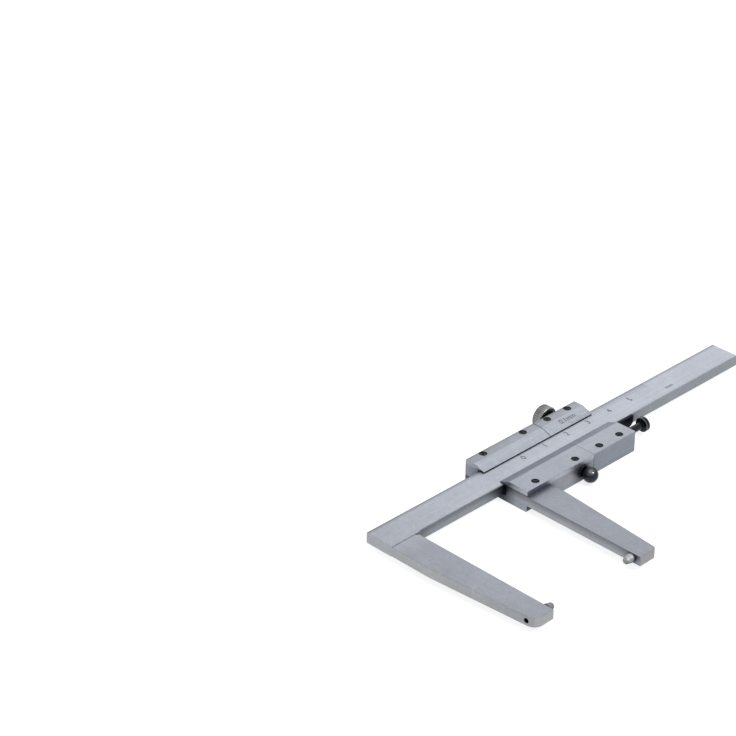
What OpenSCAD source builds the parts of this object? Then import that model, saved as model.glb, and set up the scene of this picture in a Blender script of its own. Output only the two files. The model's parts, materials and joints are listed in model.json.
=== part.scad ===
// Brake disc caliper gauge: a long-jawed slide caliper with conical measuring pins.
// A clamp carriage carries the vernier and locks on the beam. A sprung plunger
// pushes the jaw carriage out of it to measure, and lets it spring back to lift
// the pins over the rim of a worn disc without losing the reading.
//
// Working frame: X along the beam from the outer edge of the fixed jaw, Y = 0 on
// the back edge of the beam with the jaws pointing to -Y, Z = 0 under the beam.
// placed() then moves the origin to the middle of the footprint. Millimetres.

/* [Beam] */
// Length of the beam
beam_len = 160; // [140:1:200]
// Width of the beam
beam_w = 10.5; // [9:0.5:14]
// Thickness of the beam
beam_t = 3.8; // [3.6:0.1:5]
// Chamfer along the long edges of the beam
beam_edge = 0.25; // [0.1:0.05:0.5]

/* [Jaws] */
// Reach of both jaws in front of the beam
jaw_reach = 54.5; // [45:0.5:70]
// Width of a jaw at its root
jaw_root_w = 10.6; // [9:0.1:14]
// Width of the fixed jaw at its tip
jaw_tip_w = 7.6; // [6.5:0.1:8.8]
// Width of the moving jaw at its tip
moving_tip_w = 7.1; // [6.5:0.1:8.8]
// Thickness of a jaw blade
jaw_t = 3.2; // [2.8:0.1:3.4]
// Height of a jaw's underside over the beam's underside
jaw_lift = 0.2; // [0:0.05:0.4]
// Straight part of a jaw's outer edge before the taper
jaw_straight = 15.5; // [12:0.5:25]
// Rounding of the fixed jaw's outer end corner
jaw_corner_r = 3; // [1.5:0.1:4]
// Rounding of the moving jaw's outer end corner
moving_corner_r = 1.2; // [0.6:0.1:4]
// Relief cut into the corner between the fixed jaw and the beam
jaw_relief_r = 0.8; // [0.4:0.1:1.2]

/* [Measuring pins] */
// Distance between the two pin ends as drawn
tip_gap = 31.4; // [12:0.1:45]
// Length of a pin in front of its jaw
pin_len = 3.1; // [2:0.1:4]
// Pin diameter where it leaves the jaw
pin_base_d = 3.1; // [2.6:0.1:3.4]
// Pin diameter at its blunt end
pin_end_d = 1.8; // [1.2:0.1:2.5]
// Diameter of the shank pressed into the jaw
pin_shank_d = 1.6; // [1.2:0.1:2]
// Length of the shank inside the jaw
pin_shank_len = 5; // [3:0.1:5.8]
// Distance of the pin's axis from the end of the jaw
pin_inset = 3.3; // [3:0.1:6]

/* [Carriages] */
// Length of the carriage with the moving jaw
jaw_carriage_len = 30.2; // [26:0.1:40]
// Length of the clamp carriage with the vernier
clamp_carriage_len = 19.4; // [18:0.1:26]
// Width of the carriages behind the beam
rear_wall_w = 5.75; // [5.5:0.05:8]
// Width of the carriages in front of the beam
front_wall_w = 9.5; // [9:0.1:12]
// Thickness of the floor under the beam
base_t = 2; // [1.6:0.1:3]
// Chamfer along the lower edges of the carriages
base_edge = 0.3; // [0.1:0.1:0.8]

/* [Covers] */
// Thickness of the cover plates
cover_t = 1.65; // [1.5:0.05:2.4]
// Flat top of the rear covers, up to the bevel
rear_flat_w = 3.75; // [3.2:0.05:4.4]
// Flat top of the front covers, up to the bevel
front_flat_w = 7.5; // [5:0.1:8.5]
// Lap of the rear covers over the beam
rear_lap = 2.05; // [1.5:0.05:2.5]
// Lap of the front covers over the beam
front_lap = 1.75; // [1:0.05:2.5]
// Thickness of the bevels at their foot
cover_foot = 0.12; // [0.1:0.02:0.3]
// Slit between the vernier bevel and the beam's face
cover_relief = 0.2; // [0.15:0.01:0.4]
// Broken edge along the outer top edges of the covers
cover_edge = 0.2; // [0.1:0.05:0.4]

/* [Cover screws] */
// Diameter of the screw shanks
screw_d = 1.4; // [1:0.1:1.6]
// Diameter of the screw heads
screw_head_d = 2.4; // [2:0.1:2.5]
// Height of the screw heads
screw_head_t = 0.9; // [0.6:0.05:1]
// Depth of the screw heads under the cover's face
screw_sunk = 0.2; // [0.1:0.05:0.4]
// Distance of the jaw carriage's screws from its ends
jaw_screw_inset = 6.1; // [5.6:0.1:8]
// Distance of the clamp carriage's screws from its ends
clamp_screw_inset = 5; // [3:0.1:5.6]
// Distance of the rear screws from the rear face
rear_screw_inset = 1.6; // [1.5:0.05:2]
// Distance of the front screws from the front face
front_screw_inset = 2.3; // [1.7:0.1:2.6]

/* [Gib strip and leaf spring] */
// Thickness of the gib strip along the beam's front edge
gib_t = 0.9; // [0.6:0.05:1.2]
// Length of the gib strip past the clamp carriage
gib_tail = 9.2; // [8:0.1:14]
// Slot for the leaf spring behind the beam
leaf_slot = 1; // [0.8:0.05:1.4]
// Thickness of the leaf spring
leaf_t = 0.3; // [0.2:0.05:0.4]
// Height of the leaf spring
leaf_h = 3; // [2:0.1:3.4]
// Length of the shoulders that keep the leaf spring in its slot
leaf_shoulder = 1.2; // [0.8:0.1:2]

/* [Ball knob] */
// Diameter of the ball
ball_d = 5.1; // [4:0.1:6]
// Diameter of the collar behind the ball
collar_d = 4.7; // [3.4:0.1:5]
// Thickness of the collar
collar_t = 0.5; // [0.4:0.1:1.5]
// Diameter of the flat where the ball meets the collar
ball_flat_d = 2.5; // [2:0.1:3]
// Diameter of the knob's shank
ball_shank_d = 1.4; // [1.2:0.1:1.8]
// Diameter of the dog point that pins the gib strip
ball_dog_d = 1; // [0.8:0.1:1.1]
// Drop of the knob's axis under the middle of the beam
ball_drop = 0.7; // [0:0.1:0.8]
// Metal between the knob's shank and the nearest cover screw
ball_wall = 0.3; // [0.2:0.1:1]

/* [Plunger] */
// Travel of the plunger
plunger_stroke = 6.4; // [4:0.1:8]
// Diameter of the plunger's stem
stem_d = 2.4; // [2.3:0.1:3]
// Length of stem inside the clamp carriage at rest
stem_guide = 2; // [1.5:0.1:3]
// Stem left in sight when the plunger is pressed home
stem_rest = 2.7; // [0.3:0.1:4]
// Diameter of the rod to the jaw carriage
rod_d = 1.2; // [1:0.1:1.4]
// Depth of the rod's end inside the stem
rod_in_stem = 6; // [3:0.1:8]
// Wall that the rod passes at the bottom of the spring bore
rod_wall = 4; // [3:0.1:5]
// Metal over the plunger's bore
plunger_roof = 1; // [0.4:0.05:1.2]
// Distance of the plunger's axis from the front face
plunger_inset = 5.1; // [4.8:0.1:5.6]
// Diameter of the plunger's knob
plunger_knob_d = 4.9; // [4:0.1:6]
// Thickness of the plunger's knob
plunger_knob_t = 1.5; // [1.2:0.1:5]
// Wire of the return spring
spring_wire_d = 0.36; // [0.3:0.02:0.4]
// Coils of the return spring
spring_turns = 8; // [5:1:9]

/* [Thumb screw and clamp shoe] */
// Diameter of the knurled head
thumb_head_d = 8.2; // [7:0.1:9]
// Thickness of the knurled head
thumb_head_t = 3.3; // [2.4:0.1:5]
// Diameter of the collar under the head
thumb_collar_d = 4.6; // [3.5:0.1:6]
// Thickness of the collar under the head
thumb_collar_t = 0.7; // [0.4:0.1:1.5]
// Space between the collar and the carriage when the clamp is open
thumb_open = 0.95; // [0.5:0.05:1.2]
// Diameter of the screw
thumb_d = 2.5; // [2:0.1:2.6]
// Depth of the recess in the head's front
thumb_recess = 1.3; // [0.4:0.1:1.6]
// Distance of the screw from the seam end of the clamp carriage
thumb_x_inset = 9.2; // [8:0.1:11]
// Grooves of the knurl
knurl_count = 36; // [20:1:48]
// Depth of the knurl
knurl_depth = 0.16; // [0.08:0.02:0.24]
// Length of the clamp shoe
shoe_len = 9.6; // [6:0.1:11]
// Height of the clamp shoe
shoe_h = 3; // [2:0.1:3.2]
// Thickness of the clamp shoe
shoe_t = 0.5; // [0.4:0.05:0.7]
// Travel of the clamp shoe to the beam
shoe_travel = 0.4; // [0.2:0.05:0.45]

/* [Fits] */
// Clearance of flat faces that slide on each other
slide_clear = 0.05; // [0.03:0.01:0.1]
// Radial clearance of rods and screws in their bores
bore_clear = 0.06; // [0.03:0.01:0.1]
// Radial clearance of pressed and screwed pieces
press_clear = 0.02; // [0.01:0.01:0.05]
// Gap at the seam between the carriages
seam_gap = 0.1; // [0.05:0.05:0.3]

/* [Hidden] */
$fn = 64;
eps = 0.01;
// Length by which cutters and joined rods run past a face
over = 1;

satin = "#c3c9d3";
ground = "#a2a5ad";
milled = "#8f929a";
bright = "#d5d8dc";
blackened = "#26272b";
spring_steel = "#6f737a";
brass = "#b89a55";

// Y places, from front to back
front_edge_y = -beam_w;
jaw_end_y = front_edge_y - jaw_reach;
pin_y = jaw_end_y + pin_inset;
carriage_front = front_edge_y - front_wall_w;
carriage_rear = rear_wall_w;
gib_rear_y = front_edge_y - slide_clear;
gib_front_y = gib_rear_y - gib_t;
front_wall_in = gib_front_y - slide_clear;
plunger_y = carriage_front + plunger_inset;
front_screw_y = carriage_front + front_screw_inset;
rear_screw_y = carriage_rear - rear_screw_inset;
thumb_rear_y = carriage_rear + thumb_open + thumb_collar_t + thumb_head_t;

// Z places, from the bottom up
channel_bottom = -slide_clear;
channel_top = beam_t + slide_clear;
channel_mid = (channel_bottom + channel_top) / 2;
channel_h = channel_top - channel_bottom;
base_bottom = channel_bottom - base_t;
cover_top = channel_top + cover_t;
stem_bore_d = stem_d + 2 * bore_clear;
plunger_z = channel_top - plunger_roof - stem_bore_d / 2;
thumb_bore_d = thumb_d + 2 * bore_clear;
thumb_floor = 0.15;
thumb_roof = 0.15;
thumb_z = min(base_bottom + thumb_head_d / 2 + thumb_floor, channel_top - thumb_bore_d / 2 - thumb_roof);
floor_z = min(base_bottom, thumb_z - thumb_head_d / 2);
ball_z = channel_mid - ball_drop;
jaw_mid_z = jaw_lift + jaw_t / 2;

// X places, from the fixed jaw to the plunger's knob
jaw_x = jaw_root_w + 2 * pin_len + tip_gap;
seam_x = jaw_x + jaw_carriage_len;
clamp_x = seam_x + seam_gap;
clamp_end = clamp_x + clamp_carriage_len;
jaw_screw_xs = [jaw_x + jaw_screw_inset, seam_x - jaw_screw_inset];
clamp_screw_xs = [clamp_x + clamp_screw_inset, clamp_end - clamp_screw_inset];
ball_x = jaw_screw_xs[1] + screw_d / 2 + ball_wall + ball_shank_d / 2;
rod_start = ball_x + ball_shank_d / 2 + ball_wall + 2 * press_clear;
spring_bore_floor = clamp_x + rod_wall;
stem_start = clamp_end - stem_guide;
knob_start = clamp_end + plunger_stroke + stem_rest;
knob_end = knob_start + plunger_knob_t;
rod_end = stem_start + rod_in_stem;
thumb_x = clamp_x + thumb_x_inset;

// Screw lengths and the ball's place
screw_seat = cover_top - screw_sunk - screw_head_t;
screw_bore_d = screw_d + 2 * press_clear;
well_clear = 0.1;
screw_skin = 0.3;
screw_well_d = screw_head_d + 2 * well_clear;
jaw_screw_tip = base_bottom + screw_skin;
clamp_screw_tip = 0.5;
collar_front = carriage_front - collar_t;
ball_y = collar_front - sqrt(pow(ball_d / 2, 2) - pow(ball_flat_d / 2, 2));

// Clamp shoe and thumb screw at rest, with the clamp open
shoe_front = slide_clear + shoe_travel;
shoe_back = shoe_front + shoe_t;
shoe_pocket_y = shoe_back + slide_clear;
thumb_tip = shoe_back + slide_clear;

// Moves the finished pieces so that the origin is under the middle of the object.
module placed() {
    translate([-beam_len / 2, -(jaw_end_y + thumb_rear_y) / 2, -floor_z]) children();
}

// Extrudes an outline drawn in Y and Z along X.
module along_x(x, length) {
    translate([x, 0, 0]) rotate([90, 0, 90]) linear_extrude(length) children();
}

// A cylinder along X, from a start point.
module rod_x(start, d, length) {
    translate(start) rotate([0, 90, 0]) cylinder(d = d, h = length);
}

// A cylinder along -Y, from a start point.
module rod_y(start, d, length) {
    translate(start) rotate([90, 0, 0]) cylinder(d = d, h = length);
}

// Points of a round corner about centre c, from one angle to another.
function arc_points(c, r, from, to, steps = 10) =
    [for (i = [0:steps]) let (a = from + (to - from) * i / steps) c + r * [cos(a), sin(a)]];

// Outline of a jaw: straight inner edge at jaw_root_w, outer edge tapering to a rounded end.
module jaw_outline(tip_w, corner_r) {
    taper = jaw_root_w - tip_w;
    lean = atan(taper / (jaw_reach - jaw_straight));
    corner = [taper - corner_r * tan(lean) + corner_r / cos(lean), -jaw_reach + corner_r];
    root = [[0, -jaw_straight], [0, 0], [jaw_root_w, 0], [jaw_root_w, -jaw_reach]];
    polygon(concat(root, arc_points(corner, corner_r, 270, 180 + lean)));
}

// Blade of a jaw: its outline at full thickness, from the end up to the given length.
module jaw_blade(length, tip_w, corner_r) {
    translate([0, 0, jaw_lift]) intersection() {
        linear_extrude(jaw_t) jaw_outline(tip_w, corner_r);
        translate([0, -jaw_reach, 0]) cube([jaw_root_w, length, jaw_t]);
    }
}

// Bore for a pin's shank, right through the end of a jaw from its inner face.
module pin_bore(face_x, out) {
    start = out > 0 ? face_x - jaw_root_w : face_x;
    rod_x([start, pin_y, jaw_mid_z], pin_shank_d + 2 * press_clear, jaw_root_w);
}

// Measuring pin pointing to +X from the face at x = 0.
module measuring_pin() {
    rim = 0.3;
    rotate([0, 90, 0]) rotate_extrude() polygon([
        [0, -pin_shank_len],
        [pin_shank_d / 2, -pin_shank_len],
        [pin_shank_d / 2, 0],
        [pin_base_d / 2, 0],
        [pin_base_d / 2, rim],
        [pin_end_d / 2 + rim / 2, pin_len - rim],
        [pin_end_d / 2 - rim / 2, pin_len],
        [0, pin_len]
    ]);
}

// Outline of a rear cover: flat top, bevel down to a thin foot, slit over the beam.
module rear_cover_outline() {
    foot_y = -rear_lap;
    foot_z = channel_top + cover_relief;
    ledge = 0.4;
    ledge_y = leaf_slot + ledge;
    polygon([
        [carriage_rear, channel_top],
        [carriage_rear, cover_top - cover_edge],
        [carriage_rear - cover_edge, cover_top],
        [carriage_rear - rear_flat_w, cover_top],
        [foot_y, foot_z + cover_foot],
        [foot_y, foot_z],
        [ledge_y, foot_z],
        [ledge_y, channel_top]
    ]);
}

// Outline of a front cover: flat top and a bevel down to the beam's face.
module front_cover_outline() {
    foot_y = front_edge_y + front_lap;
    polygon([
        [carriage_front, channel_top],
        [carriage_front, cover_top - cover_edge],
        [carriage_front + cover_edge, cover_top],
        [carriage_front + front_flat_w, cover_top],
        [foot_y, channel_top + cover_foot],
        [foot_y, channel_top]
    ]);
}

// Stepped holes that sink a row of cover screws.
module cover_screw_holes(xs, y) {
    for (x = xs) {
        translate([x, y, channel_top - eps]) cylinder(d = screw_bore_d, h = cover_t);
        translate([x, y, screw_seat]) cylinder(d = screw_well_d, h = cover_t);
    }
}

// Plain holes for the screw shanks, from tip_z up.
module shank_holes(xs, y, tip_z) {
    for (x = xs) translate([x, y, tip_z]) cylinder(d = screw_bore_d, h = channel_top - tip_z + eps);
}

// Slotted cheese-head screw, seated in its cover.
module cover_screw(tip_z) {
    slot_w = 0.35;
    slot_depth = 0.4;
    difference() {
        union() {
            translate([0, 0, screw_seat]) cylinder(d = screw_head_d, h = screw_head_t);
            translate([0, 0, tip_z]) cylinder(d = screw_d, h = screw_seat - tip_z + eps);
        }
        translate([-screw_head_d, -slot_w / 2, screw_seat + screw_head_t - slot_depth])
            cube([2 * screw_head_d, slot_w, slot_depth + eps]);
    }
}

// The four screws of one carriage, with their slots left at different turns.
module cover_screws(xs, tip_z) {
    slot_turn = 50;
    for (i = [0, 1], j = [0, 1])
        translate([xs[i], j == 0 ? rear_screw_y : front_screw_y, 0])
            rotate(slot_turn * (1 + i - 2 * j)) cover_screw(tip_z);
}

module beam() {
    color(satin) along_x(0, beam_len) polygon([
        [front_edge_y, beam_edge],
        [front_edge_y + beam_edge, 0],
        [-beam_edge, 0],
        [0, beam_edge],
        [0, beam_t - beam_edge],
        [-beam_edge, beam_t],
        [front_edge_y + beam_edge, beam_t],
        [front_edge_y, beam_t - beam_edge]
    ]);
}

module fixed_jaw() {
    color(ground) difference() {
        translate([0, front_edge_y, 0]) jaw_blade(jaw_reach, jaw_tip_w, jaw_corner_r);
        translate([jaw_root_w, front_edge_y, jaw_lift - eps]) cylinder(r = jaw_relief_r, h = jaw_t + 2 * eps);
        pin_bore(jaw_root_w, 1);
    }
}

module fixed_measuring_pin() {
    color(bright) translate([jaw_root_w, pin_y, jaw_mid_z]) measuring_pin();
}

module moving_jaw() {
    tang_w = front_wall_in - carriage_front;
    color(ground) difference() {
        union() {
            translate([jaw_x, carriage_front, channel_bottom])
                cube([jaw_carriage_len, tang_w, channel_h]);
            translate([jaw_x + jaw_root_w, front_edge_y, 0])
                mirror([1, 0, 0])
                    jaw_blade(carriage_front - jaw_end_y + eps, moving_tip_w, moving_corner_r);
        }
        shank_holes(jaw_screw_xs, front_screw_y, channel_bottom - eps);
        rod_y([ball_x, front_wall_in + eps, ball_z], ball_shank_d + 2 * press_clear, tang_w + 2 * eps);
        rod_x([rod_start - press_clear, plunger_y, plunger_z], rod_d + 2 * press_clear, seam_x - rod_start + over);
        pin_bore(jaw_x, -1);
    }
}

module moving_measuring_pin() {
    color(bright) translate([jaw_x, pin_y, jaw_mid_z]) mirror([1, 0, 0]) measuring_pin();
}

module jaw_base_plate() {
    color(milled) difference() {
        along_x(jaw_x, jaw_carriage_len) polygon([
            [carriage_front, channel_bottom],
            [carriage_front, base_bottom + base_edge],
            [carriage_front + base_edge, base_bottom],
            [carriage_rear - base_edge, base_bottom],
            [carriage_rear, base_bottom + base_edge],
            [carriage_rear, channel_bottom]
        ]);
        for (y = [rear_screw_y, front_screw_y]) shank_holes(jaw_screw_xs, y, base_bottom - eps);
    }
}

module jaw_rear_block() {
    shoulder_y = leaf_slot / 2;
    color(milled) difference() {
        translate([jaw_x, shoulder_y, channel_bottom])
            cube([jaw_carriage_len, carriage_rear - shoulder_y, channel_h]);
        translate([jaw_x + leaf_shoulder, shoulder_y - eps, channel_bottom - eps])
            cube([jaw_carriage_len - 2 * leaf_shoulder, leaf_slot - shoulder_y + eps, channel_h + 2 * eps]);
        shank_holes(jaw_screw_xs, rear_screw_y, channel_bottom - eps);
    }
}

module jaw_rear_cover() {
    color(satin) difference() {
        along_x(jaw_x, jaw_carriage_len) rear_cover_outline();
        cover_screw_holes(jaw_screw_xs, rear_screw_y);
    }
}

module jaw_front_cover() {
    color(satin) difference() {
        along_x(jaw_x, jaw_carriage_len) front_cover_outline();
        cover_screw_holes(jaw_screw_xs, front_screw_y);
    }
}

module jaw_cover_screws() {
    color(blackened) cover_screws(jaw_screw_xs, jaw_screw_tip);
}

// A bowed strip: its middle runs on the beam's back edge, its ends bear on the block.
module leaf_spring() {
    end_play = 0.3;
    half = jaw_carriage_len / 2 - leaf_shoulder - end_play;
    bow = leaf_slot - leaf_t - 2 * slide_clear;
    steps = 24;
    spine = [for (i = [0:steps]) let (s = 2 * i / steps - 1) [half * s, slide_clear + bow * s * s]];
    outer = [for (i = [steps:-1:0]) spine[i] + [0, leaf_t]];
    color(spring_steel) translate([jaw_x + jaw_carriage_len / 2, 0, channel_mid - leaf_h / 2])
        linear_extrude(leaf_h) polygon(concat(spine, outer));
}

// Long strip along the beam's front edge, its free end rounded below.
module gib_strip() {
    length = clamp_end + gib_tail - jaw_x;
    corner_r = 2.2;
    gib_h = beam_t - slide_clear;
    color(blackened) difference() {
        translate([jaw_x, gib_rear_y, 0]) rotate([90, 0, 0]) linear_extrude(gib_t) polygon(concat(
            [[length, gib_h], [0, gib_h], [0, 0]],
            arc_points([length - corner_r, corner_r], corner_r, 270, 360)
        ));
        rod_y([ball_x, gib_rear_y + eps, ball_z], ball_dog_d + 2 * press_clear, gib_t + 2 * eps);
    }
}

// Ball with a flat back, a shank through the moving jaw and a dog point in the gib strip.
module ball_knob() {
    dog_short = 0.2;
    dog_tip = gib_rear_y - dog_short;
    color(blackened) {
        difference() {
            translate([ball_x, ball_y, ball_z]) sphere(d = ball_d);
            translate([ball_x - ball_d, collar_front, ball_z - ball_d]) cube(2 * ball_d);
        }
        rod_y([ball_x, front_wall_in - eps, ball_z], ball_shank_d, front_wall_in - ball_y);
        rod_y([ball_x, dog_tip, ball_z], ball_dog_d, dog_tip - front_wall_in + over);
    }
}

module ball_collar() {
    color(blackened) difference() {
        rod_y([ball_x, carriage_front, ball_z], collar_d, collar_t);
        rod_y([ball_x, carriage_front + over, ball_z], ball_shank_d + 2 * press_clear, collar_t + 2 * over);
    }
}

module plunger_rod() {
    color(spring_steel) rod_x([rod_start, plunger_y, plunger_z], rod_d, rod_end - rod_start);
}

// Stem and flanged knob in one piece, bored for the rod.
module plunger_knob() {
    rim = 0.4;
    neck_cut = 0.25;
    neck_d = stem_d - 2 * neck_cut;
    neck_len = 0.8;
    stem_len = knob_start - stem_start;
    full_len = knob_end - stem_start;
    bore_d = rod_d + 2 * press_clear;
    color(blackened) translate([stem_start, plunger_y, plunger_z]) rotate([0, 90, 0]) rotate_extrude() polygon([
        [bore_d / 2, 0],
        [stem_d / 2, 0],
        [stem_d / 2, stem_len - neck_len],
        [neck_d / 2, stem_len - neck_len],
        [neck_d / 2, stem_len],
        [plunger_knob_d / 2 - rim, stem_len],
        [plunger_knob_d / 2, stem_len + rim],
        [plunger_knob_d / 2, full_len - rim],
        [plunger_knob_d / 2 - rim, full_len],
        [0, full_len],
        [0, rod_in_stem + press_clear],
        [bore_d / 2, rod_in_stem + press_clear]
    ]);
}

// One-piece channel with the plunger's bore in front and the clamp behind the beam.
module clamp_body() {
    pocket_len = shoe_len + 2 * slide_clear;
    pocket_h = shoe_h + 2 * slide_clear;
    color(milled) difference() {
        along_x(clamp_x, clamp_carriage_len) polygon([
            [carriage_front, channel_top],
            [carriage_front, base_bottom + base_edge],
            [carriage_front + base_edge, base_bottom],
            [carriage_rear - base_edge, base_bottom],
            [carriage_rear, base_bottom + base_edge],
            [carriage_rear, channel_top],
            [slide_clear, channel_top],
            [slide_clear, channel_bottom],
            [front_wall_in, channel_bottom],
            [front_wall_in, channel_top]
        ]);
        rod_x([clamp_x - eps, plunger_y, plunger_z], rod_d + 2 * bore_clear, clamp_carriage_len);
        rod_x([spring_bore_floor, plunger_y, plunger_z], stem_bore_d, clamp_carriage_len);
        rod_y([thumb_x, carriage_rear + over, thumb_z], thumb_bore_d, carriage_rear + over - slide_clear);
        translate([thumb_x - pocket_len / 2, 0, channel_mid - pocket_h / 2])
            cube([pocket_len, shoe_pocket_y, pocket_h]);
        for (y = [rear_screw_y, front_screw_y]) shank_holes(clamp_screw_xs, y, clamp_screw_tip - press_clear);
    }
}

module vernier_plate() {
    color(satin) difference() {
        along_x(clamp_x, clamp_carriage_len) rear_cover_outline();
        cover_screw_holes(clamp_screw_xs, rear_screw_y);
    }
}

module clamp_front_cover() {
    color(satin) difference() {
        along_x(clamp_x, clamp_carriage_len) front_cover_outline();
        cover_screw_holes(clamp_screw_xs, front_screw_y);
    }
}

module clamp_cover_screws() {
    color(blackened) cover_screws(clamp_screw_xs, clamp_screw_tip);
}

// Compression spring round the rod: a six-sided wire carried along a helix.
module return_spring() {
    sides = 6;
    rings_per_turn = 10;
    wire_r = spring_wire_d / 2;
    coil_r = (stem_bore_d / 2 + rod_d / 2) / 2;
    x0 = spring_bore_floor + wire_r + slide_clear;
    x1 = stem_start - wire_r - slide_clear;
    rings = spring_turns * rings_per_turn;
    points = [
        for (i = [0:rings], j = [0:sides - 1])
            let (turn = 360 * i / rings_per_turn, side = 360 * j / sides, r = coil_r + wire_r * cos(side))
            [x0 + (x1 - x0) * i / rings + wire_r * sin(side), r * cos(turn), r * sin(turn)]
    ];
    wall = [
        for (i = [0:rings - 1], j = [0:sides - 1])
            let (a = i * sides + j, b = i * sides + (j + 1) % sides)
            each [[a, b, b + sides], [a, b + sides, a + sides]]
    ];
    last = rings * sides;
    caps = [for (j = [1:sides - 2]) each [[0, j + 1, j], [last, last + j, last + j + 1]]];
    color(spring_steel) translate([0, plunger_y, plunger_z]) polyhedron(points, concat(wall, caps));
}

module clamp_shoe() {
    color(brass) translate([thumb_x - shoe_len / 2, shoe_front, channel_mid - shoe_h / 2])
        cube([shoe_len, shoe_t, shoe_h]);
}

// Straight-knurled head with a ring-shaped recess in its front, collar and screw, pointing to -Y.
module thumb_screw() {
    rim = 0.3;
    wall = 1.3;
    least_gap = 0.3;
    groove_r = 0.22;
    head_front = thumb_rear_y - thumb_head_t;
    head_r = thumb_head_d / 2;
    recess_floor = thumb_head_t - thumb_recess;
    recess_r = max(head_r - wall, thumb_collar_d / 2 + least_gap);
    color(bright) {
        difference() {
            translate([thumb_x, thumb_rear_y, thumb_z]) rotate([90, 0, 0]) rotate_extrude() polygon([
                [0, 0],
                [head_r - rim, 0],
                [head_r, rim],
                [head_r, thumb_head_t - rim],
                [head_r - rim, thumb_head_t],
                [recess_r, thumb_head_t],
                [recess_r, recess_floor],
                [thumb_collar_d / 2, recess_floor],
                [thumb_collar_d / 2, thumb_head_t + thumb_collar_t],
                [0, thumb_head_t + thumb_collar_t]
            ]);
            for (i = [0:knurl_count - 1])
                translate([thumb_x, thumb_rear_y + over, thumb_z]) rotate([0, 360 * i / knurl_count, 0])
                    rod_y([head_r + groove_r - knurl_depth, 0, 0], 2 * groove_r, thumb_head_t + 2 * over);
        }
        rod_y([thumb_x, head_front, thumb_z], thumb_d, head_front - thumb_tip);
    }
}

placed() beam();
placed() fixed_jaw();
placed() fixed_measuring_pin();
placed() moving_jaw();
placed() moving_measuring_pin();
placed() jaw_base_plate();
placed() jaw_rear_block();
placed() jaw_rear_cover();
placed() jaw_front_cover();
placed() jaw_cover_screws();
placed() leaf_spring();
placed() gib_strip();
placed() ball_knob();
placed() ball_collar();
placed() plunger_rod();
placed() plunger_knob();
placed() clamp_body();
placed() vernier_plate();
placed() clamp_front_cover();
placed() clamp_cover_screws();
placed() return_spring();
placed() clamp_shoe();
placed() thumb_screw();
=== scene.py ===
import json
import math
from collections import namedtuple

import bmesh
import bpy
import numpy as np
from mathutils import Matrix, Vector


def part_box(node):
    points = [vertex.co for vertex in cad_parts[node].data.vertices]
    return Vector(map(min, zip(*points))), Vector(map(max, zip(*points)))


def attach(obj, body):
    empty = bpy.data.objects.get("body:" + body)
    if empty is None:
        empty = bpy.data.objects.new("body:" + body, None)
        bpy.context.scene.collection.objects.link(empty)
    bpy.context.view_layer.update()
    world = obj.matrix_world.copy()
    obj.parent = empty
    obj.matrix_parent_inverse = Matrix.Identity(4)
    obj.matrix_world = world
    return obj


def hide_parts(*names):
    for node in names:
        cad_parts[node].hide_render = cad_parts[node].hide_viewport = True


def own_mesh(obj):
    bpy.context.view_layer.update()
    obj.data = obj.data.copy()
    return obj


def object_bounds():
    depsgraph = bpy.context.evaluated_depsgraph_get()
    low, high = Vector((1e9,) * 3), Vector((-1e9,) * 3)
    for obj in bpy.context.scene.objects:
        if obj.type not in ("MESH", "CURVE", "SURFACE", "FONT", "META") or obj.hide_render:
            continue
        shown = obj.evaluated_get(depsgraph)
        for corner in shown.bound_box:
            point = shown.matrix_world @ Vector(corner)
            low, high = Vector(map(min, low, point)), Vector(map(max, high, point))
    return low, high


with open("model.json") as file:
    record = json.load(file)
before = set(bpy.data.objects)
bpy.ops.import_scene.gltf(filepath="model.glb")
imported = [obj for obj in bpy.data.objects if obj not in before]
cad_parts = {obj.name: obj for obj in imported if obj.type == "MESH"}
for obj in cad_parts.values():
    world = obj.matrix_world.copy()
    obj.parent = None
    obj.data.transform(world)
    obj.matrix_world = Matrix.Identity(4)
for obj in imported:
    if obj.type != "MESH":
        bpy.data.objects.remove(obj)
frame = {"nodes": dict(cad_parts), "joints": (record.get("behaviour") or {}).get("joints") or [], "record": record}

bl_info = {
    "name": "Brake disc gauge",
    "version": (1, 0, 0),
    "blender": (4, 5, 0),
    "location": "3D View > Sidebar > Gauge",
    "description": "Ground steel finishes, scale marks, turned pieces and studio of a brake disc gauge",
    "category": "Object",
}

MM = 0.001
CAD_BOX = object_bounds()
NODES = frame["nodes"]
JOINTS = {joint["name"]: joint for joint in frame["joints"]}
SLOT_COLOURS = {row["slot"]: tuple(row["base_color"]) for row in frame["record"]["materials"]}
AXIS_ROLL = {"X": 0, "Y": 1}
ALONG_Y = 1
ALONG_Z = 2
SHARP_EDGE = math.radians(40)

# How deep the scale's lines and letters go, how much the letters' strokes are thinned, how close their points
# are when they are joined, and the height of a capital as a share of the font's size
MARK_DEPTH = 0.03 * MM
LETTER_DEPTH = 0.02 * MM
LETTER_THINNING = 0.006 * MM
LETTER_WELD = 0.0005 * MM
CAPITAL_SHARE = 0.72


# Settings

def length(name, description, size_mm):
    """A length setting, given in millimetres and kept in metres."""
    return bpy.props.FloatProperty(name=name, description=description, default=size_mm * MM, min=0.0,
                                   precision=5, unit="LENGTH", subtype="DISTANCE")


def colour(name, description, default):
    """A linear colour setting."""
    return bpy.props.FloatVectorProperty(name=name, description=description, default=default, size=3,
                                         min=0.0, max=1.0, subtype="COLOR")


def angle(name, description, degrees):
    """An angle setting, given in degrees and kept in radians."""
    return bpy.props.FloatProperty(name=name, description=description, default=math.radians(degrees),
                                   unit="ROTATION", subtype="ANGLE")


def number(name, description, default):
    """A plain number setting."""
    return bpy.props.FloatProperty(name=name, description=description, default=default, min=0.0)


def count(name, description, default):
    """A whole number setting."""
    return bpy.props.IntProperty(name=name, description=description, default=default, min=1)


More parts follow.
